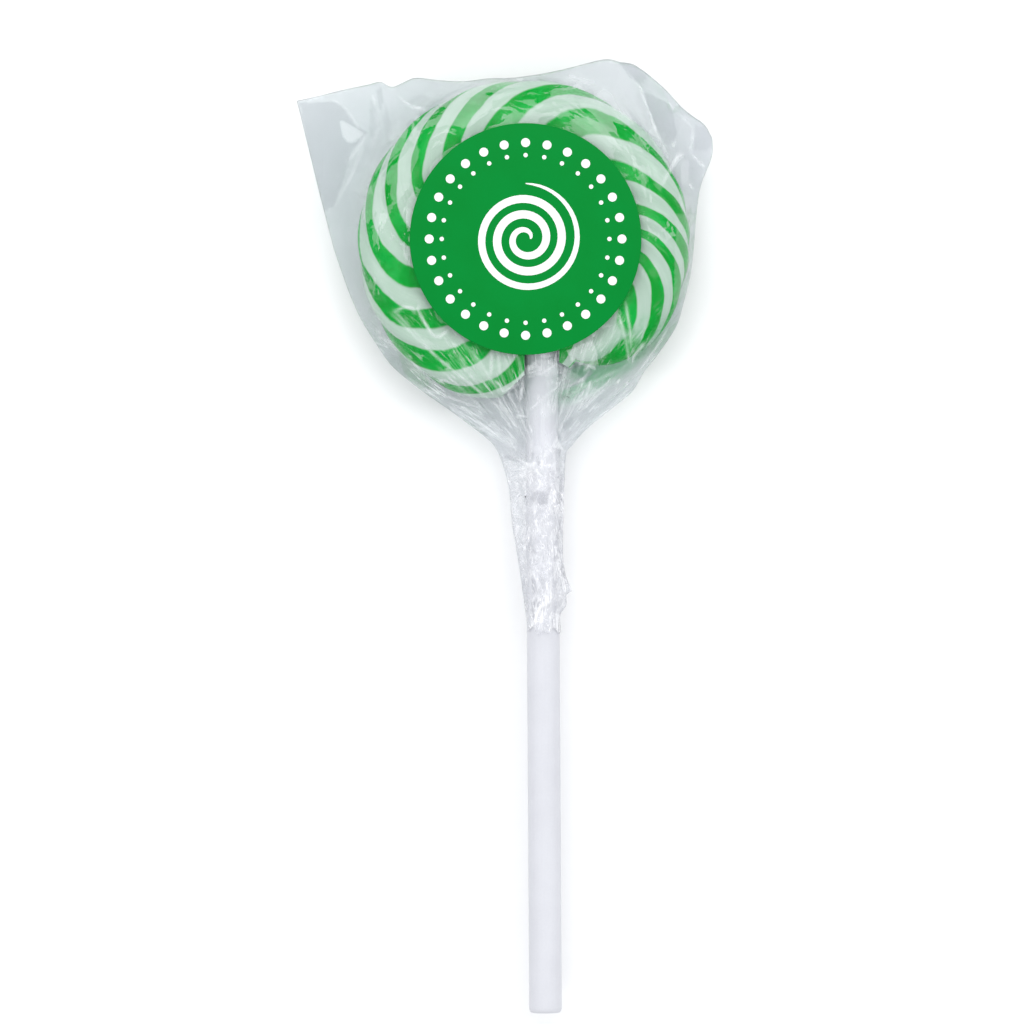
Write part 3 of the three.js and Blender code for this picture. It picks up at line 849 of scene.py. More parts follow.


# Flat facets of the front sheet with painted light, lighter for a painted reflection (above 0) or darker
# for painted shade (below 0), with their corners
PAINTED_LIGHT_FACETS = [
    (0.35, [(20.7, 3.5), (23.7, 3.5), (22.7, -6.8), (20.3, -8.9)]),
    (0.4, [(4.7, -17.3), (6.9, -18.4), (10.4, -20.9), (7.6, -23.6), (4.8, -25.4)]),
    (0.3, [(-5.1, -22.3), (-0.3, -20.3), (-0.1, -26.1), (-2.3, -25.3)]),
    (-0.5, [
        (-33.0, 18.7), (-30.6, 18.9), (-26.5, 19.1), (-25.0, 18.3), (-23.2, 15.6), (-21.7, 14.8),
        (-22.2, 14.0), (-23.9, 12.2), (-25.0, 8.3), (-26.4, 4.6), (-29.4, 3.5),
    ]),
    (0.5, [(-25.7, 16.6), (-24.6, 16.0), (-22.1, 14.7), (-23.3, 13.7), (-24.4, 13.3), (-25.3, 14.4)]),
    (-0.3, [(-21.4, 19.5), (-20.3, 17.6), (-20.3, 15.5), (-21.4, 13.6)]),
    (0.5, [(-21.4, 19.5), (-20.9, 20.2), (-20.2, 17.7)]),
    (-0.4, [(-20.5, 20.5), (-19.9, 21.3), (-19.5, 19.4), (-20.0, 17.6)]),
    (-0.25, [(-19.5, 19.2), (-18.8, 17.3), (-18.4, 14.9), (-18.5, 13.3), (-19.2, 13.0), (-19.4, 16.3)]),
    (-0.2, [(-16.3, 18.8), (-15.4, 19.8), (-14.0, 19.9), (-12.1, 19.4), (-13.0, 18.4), (-14.7, 18.1)]),
    (0.4, [
        (10.8, 25.1), (12.5, 24.7), (14.1, 22.4), (15.8, 21.0), (16.2, 19.6), (17.4, 16.9), (18.3, 14.1),
        (20.2, 10.4), (19.8, 9.6), (18.0, 12.5), (16.5, 15.2), (13.3, 17.0), (10.8, 19.1), (8.2, 20.5),
        (4.8, 21.3), (7.2, 24.6),
    ]),
    (-0.45, [(12.5, 24.7), (16.0, 24.0), (17.1, 22.4), (15.8, 21.3), (14.4, 22.1)]),
    (-0.35, [
        (16.0, 20.2), (17.4, 19.9), (19.4, 18.9), (20.3, 17.4), (20.9, 14.1), (19.6, 12.9), (18.5, 13.8),
        (17.4, 16.9),
    ]),
    (0.2, [(20.9, 16.9), (22.7, 17.1), (23.2, 14.7), (22.8, 12.3), (21.3, 11.5), (20.7, 13.8)]),
    (0.8, [(19.9, 13.4), (20.7, 13.7), (20.3, 12.6)]),
    (0.35, [(20.9, 12.1), (21.7, 11.5), (19.8, 9.3), (18.5, 6.7), (17.6, 7.5), (19.4, 9.6)]),
    (0.4, [(21.4, 11.2), (22.5, 11.2), (22.5, 7.9), (21.4, 7.8)]),
    (-0.3, [(23.3, 15.8), (25.0, 15.5), (26.0, 13.6), (24.9, 12.3), (23.3, 12.5)]),
    (0.3, [(17.3, 10.0), (18.0, 10.0), (18.7, 6.8), (18.0, 7.0)]),
    (0.25, [
        (6.8, 18.0), (9.2, 17.0), (12.2, 14.8), (14.4, 12.5), (16.2, 8.9), (16.5, 7.8), (14.7, 10.1),
        (11.4, 13.6), (8.6, 15.9),
    ]),
    (0.45, [(0.2, -19.1), (0.2, -17.6), (1.4, -16.6), (3.2, -16.5), (4.2, -17.3), (2.7, -18.4)]),
    (0.3, [(1.9, -23.6), (3.0, -22.4), (3.9, -23.5), (3.0, -25.0)]),
    (1.0, [(3.5, -28.4), (4.3, -26.9), (5.2, -28.9)]),
    (0.6, [(4.6, -24.2), (5.2, -25.7), (5.2, -27.6), (4.5, -26.1)]),
    (0.9, [
        (-0.9, -32.7), (-0.9, -31.5), (0.3, -30.5), (1.6, -30.8), (0.8, -31.5), (1.4, -31.9),
        (0.2, -32.7),
    ]),
    (0.35, [(-0.6, -33.0), (1.6, -32.3), (2.4, -33.4), (0.6, -34.8), (-0.5, -34.1)]),
    (-0.6, [(0.5, -35.5), (1.4, -34.5), (3.1, -34.9), (3.0, -36.3), (1.4, -36.4)]),
    (0.8, [(3.7, -33.4), (4.1, -34.4), (3.7, -37.7), (3.1, -37.4), (3.2, -35.1)]),
    (0.6, [(4.2, -34.8), (4.8, -36.4), (4.3, -37.8), (3.8, -36.8)]),
    (0.7, [(-0.9, -35.3), (-0.3, -36.0), (0.3, -37.1), (-0.2, -37.7), (-0.8, -36.7)]),
    (0.9, [(1.0, -38.4), (1.6, -38.6), (1.7, -39.5), (1.3, -39.3)]),
    (-0.7, [(-0.1, -41.0), (0.6, -41.8), (1.6, -43.0), (1.2, -43.6), (0.3, -42.5)]),
    (-0.7, [(2.7, -41.5), (3.2, -42.1), (4.5, -43.6), (4.2, -43.9), (3.2, -42.8)]),
    (-0.7, [(0.8, -46.5), (1.4, -46.8), (1.7, -48.6), (1.0, -48.8)]),
    (-0.5, [(2.0, -46.2), (2.8, -47.0), (3.4, -49.2), (2.4, -48.4)]),
    (-1.0, [(0.8, -49.7), (2.0, -49.5), (1.6, -51.0), (1.2, -53.0), (0.8, -51.2)]),
    (1.0, [(4.2, -51.2), (4.8, -51.6), (4.2, -54.2), (3.5, -54.2), (3.8, -52.4)]),
    (-0.4, [(4.5, -45.5), (4.8, -46.8), (5.4, -48.4), (4.9, -48.8)]),
    (-0.7, [(1.4, -29.8), (1.9, -29.7), (2.1, -31.2), (1.7, -31.3)]),
    (-0.6, [(0.6, -29.3), (1.2, -29.1), (1.2, -30.1), (0.8, -30.0)]),
    (-0.5, [(-3.1, -29.7), (-2.3, -29.4), (0.2, -30.6), (-1.6, -30.5)]),
    (0.7, [(5.6, -15.4), (9.2, -13.8), (9.8, -15.4), (10.0, -17.3), (8.2, -17.4), (6.4, -16.7)]),
]

# Creases of the front sheet: half width, height, paleness along the crest (stress whitening and a painted
# highlight), and points along them
FRONT_CREASES = [
    (1.2, 0.3, 0.3, [(-30.6, 18.9), (-26.5, 19.2), (-24.9, 18.3), (-23.1, 15.6), (-21.7, 14.8)]),
    (0.7, 0.3, 0.4, [(-21.7, 14.8), (-23.9, 11.4), (-25.0, 10.4)]),
    (0.8, 0.3, 0.35, [(-22.0, 13.8), (-23.9, 9.0), (-26.5, 4.5)]),
    (0.7, 0.3, 0.3, [(-20.5, 17.7), (-20.3, 15.2), (-21.1, 12.5)]),
    (0.6, 0.3, 0.5, [(-18.0, 20.7), (-16.9, 19.2), (-15.6, 18.3), (-13.2, 17.8)]),
    (1.0, 0.4, 0.35, [(12.5, 24.6), (15.8, 21.0), (17.8, 15.2), (20.3, 10.3)]),
    (0.8, 0.3, 0.4, [(15.8, 21.8), (19.6, 18.9), (23.2, 15.2)]),
    (0.6, 0.3, 0.6, [(23.2, 15.2), (22.7, 11.9)]),
    (0.6, 0.4, 0.9, [(22.7, 11.9), (24.9, 10.0)]),
    (0.6, 0.3, 0.6, [(22.7, 11.9), (20.9, 11.4), (18.5, 7.0)]),
    (0.6, 0.3, 0.5, [(22.4, 7.9), (23.5, 6.5)]),
    (0.6, 0.25, 0.8, [(-18.9, -9.7), (-11.8, -16.5), (-1.9, -24.4)]),
    (0.5, -0.15, 0.5, [(-18.4, -9.4), (-13.7, -14.3)]),
    (0.5, 0.2, 0.5, [(-10.1, -12.6), (-6.3, -16.7), (-1.9, -23.6)]),
    (0.5, 0.2, 0.6, [(-7.6, -15.1), (-4.2, -20.3)]),
    (0.45, 0.15, 0.8, [(-18.3, -10.1), (-16.7, -9.3), (-15.5, -9.4), (-15.1, -10.4)]),
    (0.5, 0.25, 1.0, [
        (-14.3, -8.6), (-14.8, -9.6), (-14.0, -11.2), (-12.7, -13.2), (-11.8, -13.4), (-10.4, -12.3),
    ]),
    (0.6, 0.25, 0.8, [(-11.5, -17.3), (-10.7, -17.0), (-10.4, -17.7), (-11.2, -18.0)]),
    (0.4, 0.2, 0.6, [(-4.6, -15.2), (-4.8, -19.4)]),
    (0.4, 0.2, 0.5, [(-3.8, -15.4), (-3.5, -18.7)]),
    (0.5, 0.25, 1.0, [(-4.5, -19.2), (-3.5, -20.0), (-3.1, -21.0), (-0.6, -19.6)]),
    (0.45, 0.25, 1.0, [(-0.3, -19.5), (-0.9, -22.8)]),
    (0.45, 0.25, 1.0, [(-1.4, -24.4), (-0.8, -24.2), (0.3, -24.3)]),
    (0.8, 0.25, 0.4, [(-23.9, -14.4), (-20.0, -18.9), (-14.5, -22.7), (-7.6, -26.4)]),
    (0.6, 0.2, 0.5, [(-22.5, -15.1), (-17.3, -19.2), (-9.0, -23.1), (-0.8, -26.7)]),
    (0.5, 0.2, 0.5, [(-20.7, -16.7), (-14.5, -20.3), (-6.3, -23.1), (-2.1, -24.7)]),
    (0.5, -0.2, 0.0, [(-20.3, -11.0), (-17.3, -15.4), (-10.4, -20.3), (-3.5, -23.1)]),
    (0.5, 0.25, 0.9, [(12.6, -9.8), (13.8, -14.0), (14.3, -17.3)]),
    (0.5, 0.25, 0.7, [(13.6, -8.2), (14.3, -12.3), (14.5, -15.4)]),
    (0.5, 0.25, 0.8, [(16.5, -14.0), (14.9, -15.9), (14.5, -17.3)]),
    (0.5, 0.2, 0.6, [(13.3, -17.6), (8.9, -19.8), (4.9, -22.0)]),
    (0.5, 0.2, 0.5, [(13.0, -18.4), (9.7, -20.9), (5.6, -23.1)]),
    (0.45, 0.15, 0.5, [(11.9, -19.8), (8.9, -22.2), (6.1, -25.4)]),
    (0.45, 0.25, 1.0, [(9.0, -19.2), (8.6, -20.7), (8.1, -21.7)]),
    (0.45, 0.2, 0.8, [(7.9, -18.1), (8.7, -17.4), (9.8, -17.8)]),
    (0.5, 0.2, 0.6, [(0.1, -23.8), (2.0, -22.2), (4.3, -20.3), (4.6, -18.1)]),
    (0.45, 0.15, 0.5, [(18.5, -15.1), (15.8, -18.7), (10.3, -24.4), (6.1, -28.6)]),
    (0.45, 0.15, 0.5, [(20.2, -11.0), (17.8, -15.1), (14.7, -19.2)]),
    (0.5, 0.2, 0.5, [(2.1, -27.6), (3.7, -29.1), (5.2, -31.1)]),
    (0.5, 0.2, 0.7, [(-2.3, -29.5), (1.0, -31.2), (2.7, -33.0)]),
    (0.45, 0.2, 0.8, [(1.0, -34.8), (1.7, -34.1), (2.7, -33.5)]),
    (0.45, 0.25, 1.0, [(1.2, -52.8), (1.6, -51.3), (2.1, -50.3), (3.0, -50.2)]),
    (0.5, 0.2, 0.6, [(1.3, -44.8), (3.1, -48.1), (4.3, -50.3)]),
    (0.45, 0.2, 0.6, [(0.1, -45.4), (1.2, -46.2), (2.0, -48.1)]),
]


def throat_rays(seed):
    """Fine creases that fan out from where the bag is gathered round the stick."""
    draw = random.Random(seed)
    creases = []
    for _ in range(70):
        bearing = math.radians(draw.uniform(-66, 60))
        near = draw.uniform(0.5, 13.0)
        far = near + draw.uniform(4.0, 14.0)
        ends = [(THROAT[0] + d * math.sin(bearing), THROAT[1] + d * math.cos(bearing)) for d in (near, far)]
        width = draw.uniform(0.4, 0.9)
        # Each crease's paleness is a painted highlight along its crest
        creases.append((width, width * draw.uniform(-0.25, 0.3), draw.uniform(0.0, 0.45), ends))
    return creases


def neck_gathers(seed):
    """Short creases, mostly along the stick, where the film is gathered tight."""
    draw = random.Random(seed)
    creases = []
    for _ in range(110):
        middle_y = draw.uniform(-52.5, -28.0)
        middle_x = stick_x(middle_y) + draw.uniform(-1.9, 2.7)
        turn = math.radians(draw.gauss(-20, 30))
        half = draw.uniform(0.5, 2.0)
        dx, dy = half * math.sin(turn), -half * math.cos(turn)
        ends = [(middle_x - dx, middle_y - dy), (middle_x + dx, middle_y + dy)]
        width = draw.uniform(0.35, 0.7)
        # Each crease's paleness is a painted highlight along its crest
        creases.append((width, width * draw.uniform(-0.4, 0.5), draw.uniform(0.0, 0.6), ends))
    return creases


def film_relief(x, y, across, seed):
    """The film's own creases, in millimetres away from the bag's middle."""
    out = np.hypot(x, y)
    over_candy = 1 - smoothstep(out, 19.5, 23.5)
    neck = smoothstep(-y, NECK_START, NECK_START + 8.0)
    flap = (1 - over_candy) * (1 - neck)
    bearing = np.arctan2(x - THROAT[0], y - THROAT[1])
    far = np.hypot(x - THROAT[0], y - THROAT[1])
    fan = smoothstep(-y, 6.0, 24.0) * (1 - neck)
    wide = crumple(x / 7.5, y / 7.5, seed, 3, 0.45)
    small = crumple(x / 3.2, y / 4.2, seed + 11, 2, 0.5)
    rays = crumple(bearing * 5.5, far / 16, seed + 23, 3, 0.6)
    pleats = np.abs(crumple((across - 0.5) * 6, y / 8.0, seed + 37, 2, 0.6))
    right_corner = smoothstep(x + 0.5 * y, 18.0, 25.0)
    knots = crumple((x - stick_x(y)) / 1.3, y / 1.9, seed + 51, 2, 0.5)
    corner = RELIEF["right corner"] * right_corner * small
    relief = RELIEF["over candy"] * over_candy * wide + flap * (RELIEF["flap"] * wide + corner)
    relief = relief + fan * RELIEF["fan"] * rays * smoothstep(far, 1.0, 9.0)
    return relief + neck * (RELIEF["neck"] + RELIEF["knots"] * knots + RELIEF["pleats"] * pleats)


def film_sheets():
    plan, across, down = film_plan(FILM_COLUMNS, FILM_ROWS)
    x, y = plan
    front = film_height(True)
    back = film_height(False)
    flat = np.hypot(x, y) < LABEL_RADIUS + LABEL_MARGIN
    beside = np.minimum(across, 1 - across)
    edge = np.minimum(beside * EDGE_RAMP, 1) * np.minimum(down * EDGE_RAMP, 1)
    quiet = smoothstep(np.hypot(x, y), LABEL_RADIUS + 0.1, LABEL_RADIUS + 2.0)
    front_folds, front_lines = folded(x, y, FRONT_CREASES + throat_rays(7) + neck_gathers(12))
    back_folds, back_lines = folded(x, y, throat_rays(9) + neck_gathers(14))
    rise = np.where(flat, 0, quiet * (film_relief(x, y, across, 3) + front_folds))
    fall = quiet * (film_relief(x, y, across, 5) + back_folds)
    half = CANDY_SIZES["Half height"] + FILM_CLEARANCE
    loose = np.clip(1 - back / half, 0, 1) ** 2 * (1 - down)
    sway = FILM_FLUTTER * loose * np.sin(9 * across + 14 * down + 0.6)
    sway = sway + loose * LOOSE_CRUMPLE * crumple(x / 11 + 3, y / 11, 71, 2, 0.4)
    high = np.maximum(front + edge * rise, least_height(x, y, True) * (edge > 0))
    rest = FILM_REST * (1 - smoothstep(np.hypot(x, y), 11.0, 19.0))
    low = back + edge * (BACK_CREASES * fall + rest)
    low = np.maximum(low, least_height(x, y, False) * (edge > 0))
    gap = SHEET_GAP * edge
    thin = np.maximum(0, gap - (high + low)) / 2
    high, low = high + thin, low + thin
    top = MID_HEIGHT + sway + high
    bottom = np.maximum(MID_HEIGHT + sway - low, 0.02)
    top = np.where(flat, np.minimum(top, LABEL_LOW - 0.02), np.minimum(top, LABEL_TOP - 0.1))
    top = np.maximum(top, bottom + gap)
    # Painted reflection and painted shade of the front sheet's listed facets
    painted_lights = np.where(flat, 0, painted_facet_light(x, y))
    return x, y, top, bottom, [np.where(flat, 0, front_lines), back_lines], [painted_lights, 0 * painted_lights]


def grid_faces(rows, columns):
    a = (np.arange(rows)[:, None] * (columns + 1) + np.arange(columns)[None, :]).ravel()
    return np.column_stack([a, a + columns + 1, a + columns + 2, a + 1])


def seam_share():
    """1 at the bag's outline, down to 0 a seam's width inside it."""
    plan, across, down = film_plan(FILM_COLUMNS, FILM_ROWS)
    width = np.hypot(*(plan[:, :, -1] - plan[:, :, 0]))[:, None]
    inside = np.minimum(np.minimum(across, 1 - across) * width, down * 80)
    return np.clip(1 - inside / SEAM_WIDTH, 0, 1)


def keep_values(mesh, name, values):
    attribute = mesh.attributes.new(name, "FLOAT", "POINT")
    attribute.data.foreach_set("value", values.astype(np.float32))


def make_film():
    """One closed bag. The sheets share their sides and top, and a strip round the stick shuts the neck."""
    x, y, top, bottom, lines, painted_lights = film_sheets()
    rows, columns = FILM_ROWS, FILM_COLUMNS
    count = x.size
    front = np.column_stack([x.ravel(), y.ravel(), top.ravel()])
    back = np.column_stack([x.ravel(), y.ravel(), bottom.ravel()])
    shared = np.zeros(x.shape, dtype=bool)
    shared[0, :] = shared[:, 0] = shared[:, -1] = True
    shared = shared.ravel()
    front[shared, 2] = 0.5 * (front[shared, 2] + back[shared, 2])
    number = np.arange(count) + count
    number[shared] = np.arange(count)[shared]
    front_faces = grid_faces(rows, columns)
    back_faces = number[front_faces][:, ::-1]
    last = np.arange(columns) + rows * (columns + 1)
    neck = np.column_stack([last, number[last], number[last + 1], last + 1])
    faces = np.vstack([front_faces, back_faces, neck])
    used = np.unique(faces)
    order = np.full(2 * count, -1)
    order[used] = np.arange(used.size)
    points = np.vstack([front, back])[used]
    faces = [[k for i, k in enumerate(face) if k != face[i - 1]] for face in order[faces].tolist()]
    mesh = smooth_mesh(mesh_of("film_bag", points, faces), 180.0)
    keep_values(mesh, "behind", np.repeat([0.0, 1.0], count)[used])
    keep_values(mesh, "seam", np.tile(seam_share().ravel(), 2)[used])
    keep_values(mesh, "creases", np.stack(lines).ravel()[used])
    # The facets' painted reflection and painted shade, kept for the finish
    keep_values(mesh, "painted_light", np.stack(painted_lights).ravel()[used])
    keep_values(mesh, "gathers", smoothstep(-points[:, 1], NECK_START, NECK_START + 9.0))
    return new_piece("film_bag", mesh, film_material(), "clear_film", "wrapper")


# Effects that several finishes share


def mottle_group():
    """Slow patches and fine grain in one mask, and a height for the bump."""
    names = [("Vector", "Vector"), ("Patch size", "Float"), ("Grain size", "Float")]
    results = [("Value", "Float"), ("Height", "Float")]
    tree, n, entry, leave = new_group("Fine mottle", "ShaderNodeTree", names, results)
    patches = n.noise(entry["Vector"], n.over(1.0, entry["Patch size"]), 3.0)
    grain = n.noise(entry["Vector"], n.over(1.0, entry["Grain size"]), 2.0, 0.6)
    both = n.times_plus(grain, 0.35, n.times(patches, 0.65))
    n.give(leave["Value"], n.ramp(both, 0.3, 0.7))
    n.give(leave["Height"], both)
    return tree


def speck_group():
    """Sparse dark specks of dust."""
    names = [("Vector", "Vector"), ("Spacing", "Float"), ("Speck size", "Float")]
    tree, n, entry, leave = new_group("Dust specks", "ShaderNodeTree", names, [("Mask", "Float")])
    scale = n.over(1.0, entry["Spacing"])
    cells = n.add("ShaderNodeTexVoronoi", {"Vector": entry["Vector"], "Scale": scale})
    chance = n.separate(cells.outputs["Color"])[0]
    size = n.over(entry["Speck size"], entry["Spacing"])
    near = n.math("LESS_THAN", cells.outputs["Distance"], size)
    n.give(leave["Mask"], n.times(near, n.math("GREATER_THAN", chance, 0.72)))
    return tree


def mottled(n, patch, grain):
    inputs = {"Vector": object_place(n), "Patch size": patch * MM, "Grain size": grain * MM}
    return n.place(bpy.data.node_groups["Fine mottle"], inputs).outputs


def specks_of(n, spacing, size):
    inputs = {"Vector": object_place(n), "Spacing": spacing * MM, "Speck size": size * MM}
    return n.place(bpy.data.node_groups["Dust specks"], inputs).outputs["Mask"]


def bumped(n, shader, height, strength, distance):
    inputs = {"Height": height, "Strength": strength, "Distance": distance * MM}
    n.give(shader.inputs["Normal"], n.add("ShaderNodeBump", inputs).outputs[0])


# Finishes


def candy_material():
    """Boiled sugar in green and white strands, with soft uneven borders and fine pulled streaks."""
    material, n, shader = new_material("striped boiled sugar")
    strands = n.add("ShaderNodeAttribute", attribute_name="strands").outputs["Vector"]
    count, turn, angle = n.separate(strands)
    place = object_place(n)
    outward = n.math("SINE", angle)

    # The strands lean more in some places than in others, and their borders wander
    lean = n.math("COSINE", n.times(n.minus(LEAN_TURN, turn), 2 * math.pi / LEAN_REPEAT))
    phase = n.times_plus(n.times(lean, outward), LEAN_AMOUNT, count)
    wander = n.minus(n.noise(place, 150.0, 4.0), 0.5)
    phase = n.times_plus(wander, 0.3, phase)
    from_middle = n.off_half(n.math("FRACT", n.plus(phase, 0.25)))
    half_band = n.ramp(n.noise(place, 85.0, 1.0), 0.3, 0.7, 0.2, 0.295)
    green = n.ramp(n.minus(half_band, from_middle), -0.03, 0.04)

    # The rope's outer end is white, with a green strand round its tip
    green = n.times(green, n.ramp(turn, 29.0, 34.0))
    inner_edge = n.ramp(turn, 8.0, 28.0, 0.86, 0.42)
    tip = n.ramp(n.minus(outward, inner_edge), 0.0, 0.1)
    tip = n.times(tip, n.fall(turn, 28.0, 36.0))
    green = n.larger(green, n.larger(tip, n.fall(turn, 4.0, 7.0)))

    around = n.times(count, 2 * math.pi / ROPE_STRANDS)
    ring = n.combine(n.math("COSINE", around), n.math("SINE", around), n.over(turn, 360.0))
    streaks = n.noise(ring, 14.0, 4.0, 0.65)
    mottle = mottled(n, 4.0, 0.5)
    white = n.mix_colour(streaks, (0.37, 0.51, 0.41, 1), (0.51, 0.625, 0.54, 1))
    deep = n.mix_colour(mottle["Value"], (0.0, 0.29, 0.022, 1), (0.0, 0.40, 0.05, 1))
    inputs = {
        "Base Color": n.mix_colour(green, white, deep),
        "Roughness": n.ramp(mottle["Height"], 0.3, 0.7, 0.16, 0.34),
        "IOR": 1.45,
        "Specular IOR Level": 0.18,
        "Coat Weight": 0.04,
        "Coat Roughness": 0.12,
        "Subsurface Weight": 0.12,
        "Subsurface Radius": (0.6, 1.0, 0.6),
        "Subsurface Scale": 0.8 * MM,
    }
    n.fill(shader, inputs)
    bumped(n, shader, n.times_plus(streaks, 0.5, mottle["Height"]), 0.25, 0.12)
    return material


def stick_material():
    """Smooth white rolled paper with faint lengthwise streaks and specks of fibre."""
    material, n, shader = new_material("rolled white paper")
    place = object_place(n)
    streaks = n.noise(n.stretch(place, 1.0, 0.03, 1.0), 2600.0, 3.0, 0.6)
    mottle = mottled(n, 5.0, 0.3)
    share = n.times_plus(mottle["Value"], 0.5, n.times(streaks, 0.5))
    paper = n.mix_colour(share, (0.585, 0.588, 0.625, 1), (0.655, 0.66, 0.695, 1))
    paper = n.mix_colour(n.times(specks_of(n, 3.4, 0.07), 0.3), paper, (0.42, 0.42, 0.45, 1))
    n.fill(shader, {"Base Color": paper, "Roughness": n.ramp(streaks, 0.3, 0.7, 0.42, 0.58)})
    bumped(n, shader, streaks, 0.2, 0.05)
    return material


def two_tone(name, sizes, colours, roughness, bump):
    """A finish that wanders between two close colours, with patches and grain of the given sizes."""
    material, n, shader = new_material(name)
    mottle = mottled(n, *sizes)
    n.give(shader.inputs["Base Color"], n.mix_colour(mottle["Value"], *colours))
    n.give(shader.inputs["Roughness"], n.ramp(mottle["Height"], 0.3, 0.7, *roughness))
    bumped(n, shader, mottle["Height"], *bump)
    return material, shader


def label_material():
    """Printed satin paper: even green with a faint paper grain."""
    greens = ((0.0, 0.21, 0.026, 1), (0.0, 0.226, 0.031, 1))
    material, shader = two_tone("green label paper", (6.0, 0.25), greens, (0.46, 0.56), (0.12, 0.03))
    shader.inputs["Specular IOR Level"].default_value = 0.06
    return material


def print_material():
    whites = ((0.80, 0.81, 0.80, 1), (0.86, 0.87, 0.86, 1))
    return two_tone("white label ink", (3.0, 0.2), whites, (0.4, 0.5), (0.1, 0.02))[0]


def film_shards(n, place, gathers):
    """Tilts the film in flat shards, small where it is gathered, and gives each shard a value."""
    normal = n.add("ShaderNodeNewGeometry").outputs["Normal"]
    wide = n.add("ShaderNodeTexVoronoi", {"Vector": place, "Scale": 150.0}).outputs["Color"]
    small_place = n.stretch(place, 1.0, 0.55, 1.0)
    small = n.add("ShaderNodeTexVoronoi", {"Vector": small_place, "Scale": 1000.0}).outputs["Color"]

    def tilt(cells, amount):
        return n.scaled(n.vector("SUBTRACT", cells, (0.5, 0.5, 0.5)), amount)

    both = n.vector("ADD", tilt(wide, 0.16), tilt(small, n.times(gathers, 0.38)))
    tilted = n.vector("NORMALIZE", n.vector("ADD", normal, both))
    value = n.blend(gathers, n.separate(wide)[0], n.separate(small)[0])
    return tilted, value


def film_hairlines(n, x, y, gathers):
    """Fine pale lines, painted highlights, that fan out from the throat, and run down the neck."""
    aside = n.minus(x, THROAT[0] * MM)
    above = n.minus(y, THROAT[1] * MM)
    bearing = n.math("ARCTAN2", aside, above)
    far = n.vector("LENGTH", n.combine(aside, above))
    fan_place = n.combine(n.times(bearing, 26.0), n.times(far, 110.0))
    fan = n.off_half(n.noise(fan_place, 1.0, 2.0, 0.6))
    broken = n.ramp(n.noise(n.combine(x, y), 260.0), 0.4, 0.55)
    fan = n.times(n.fall(fan, 0.0, 0.045), n.fall(y, -0.021, -0.006), broken)
    down = n.combine(n.times_plus(y, 0.3, x), n.times(y, 0.3))
    neck = n.off_half(n.noise(down, 1500.0, 2.0, 0.6))
    neck = n.times(n.fall(neck, 0.0, 0.03), gathers)
    return n.larger(fan, neck)


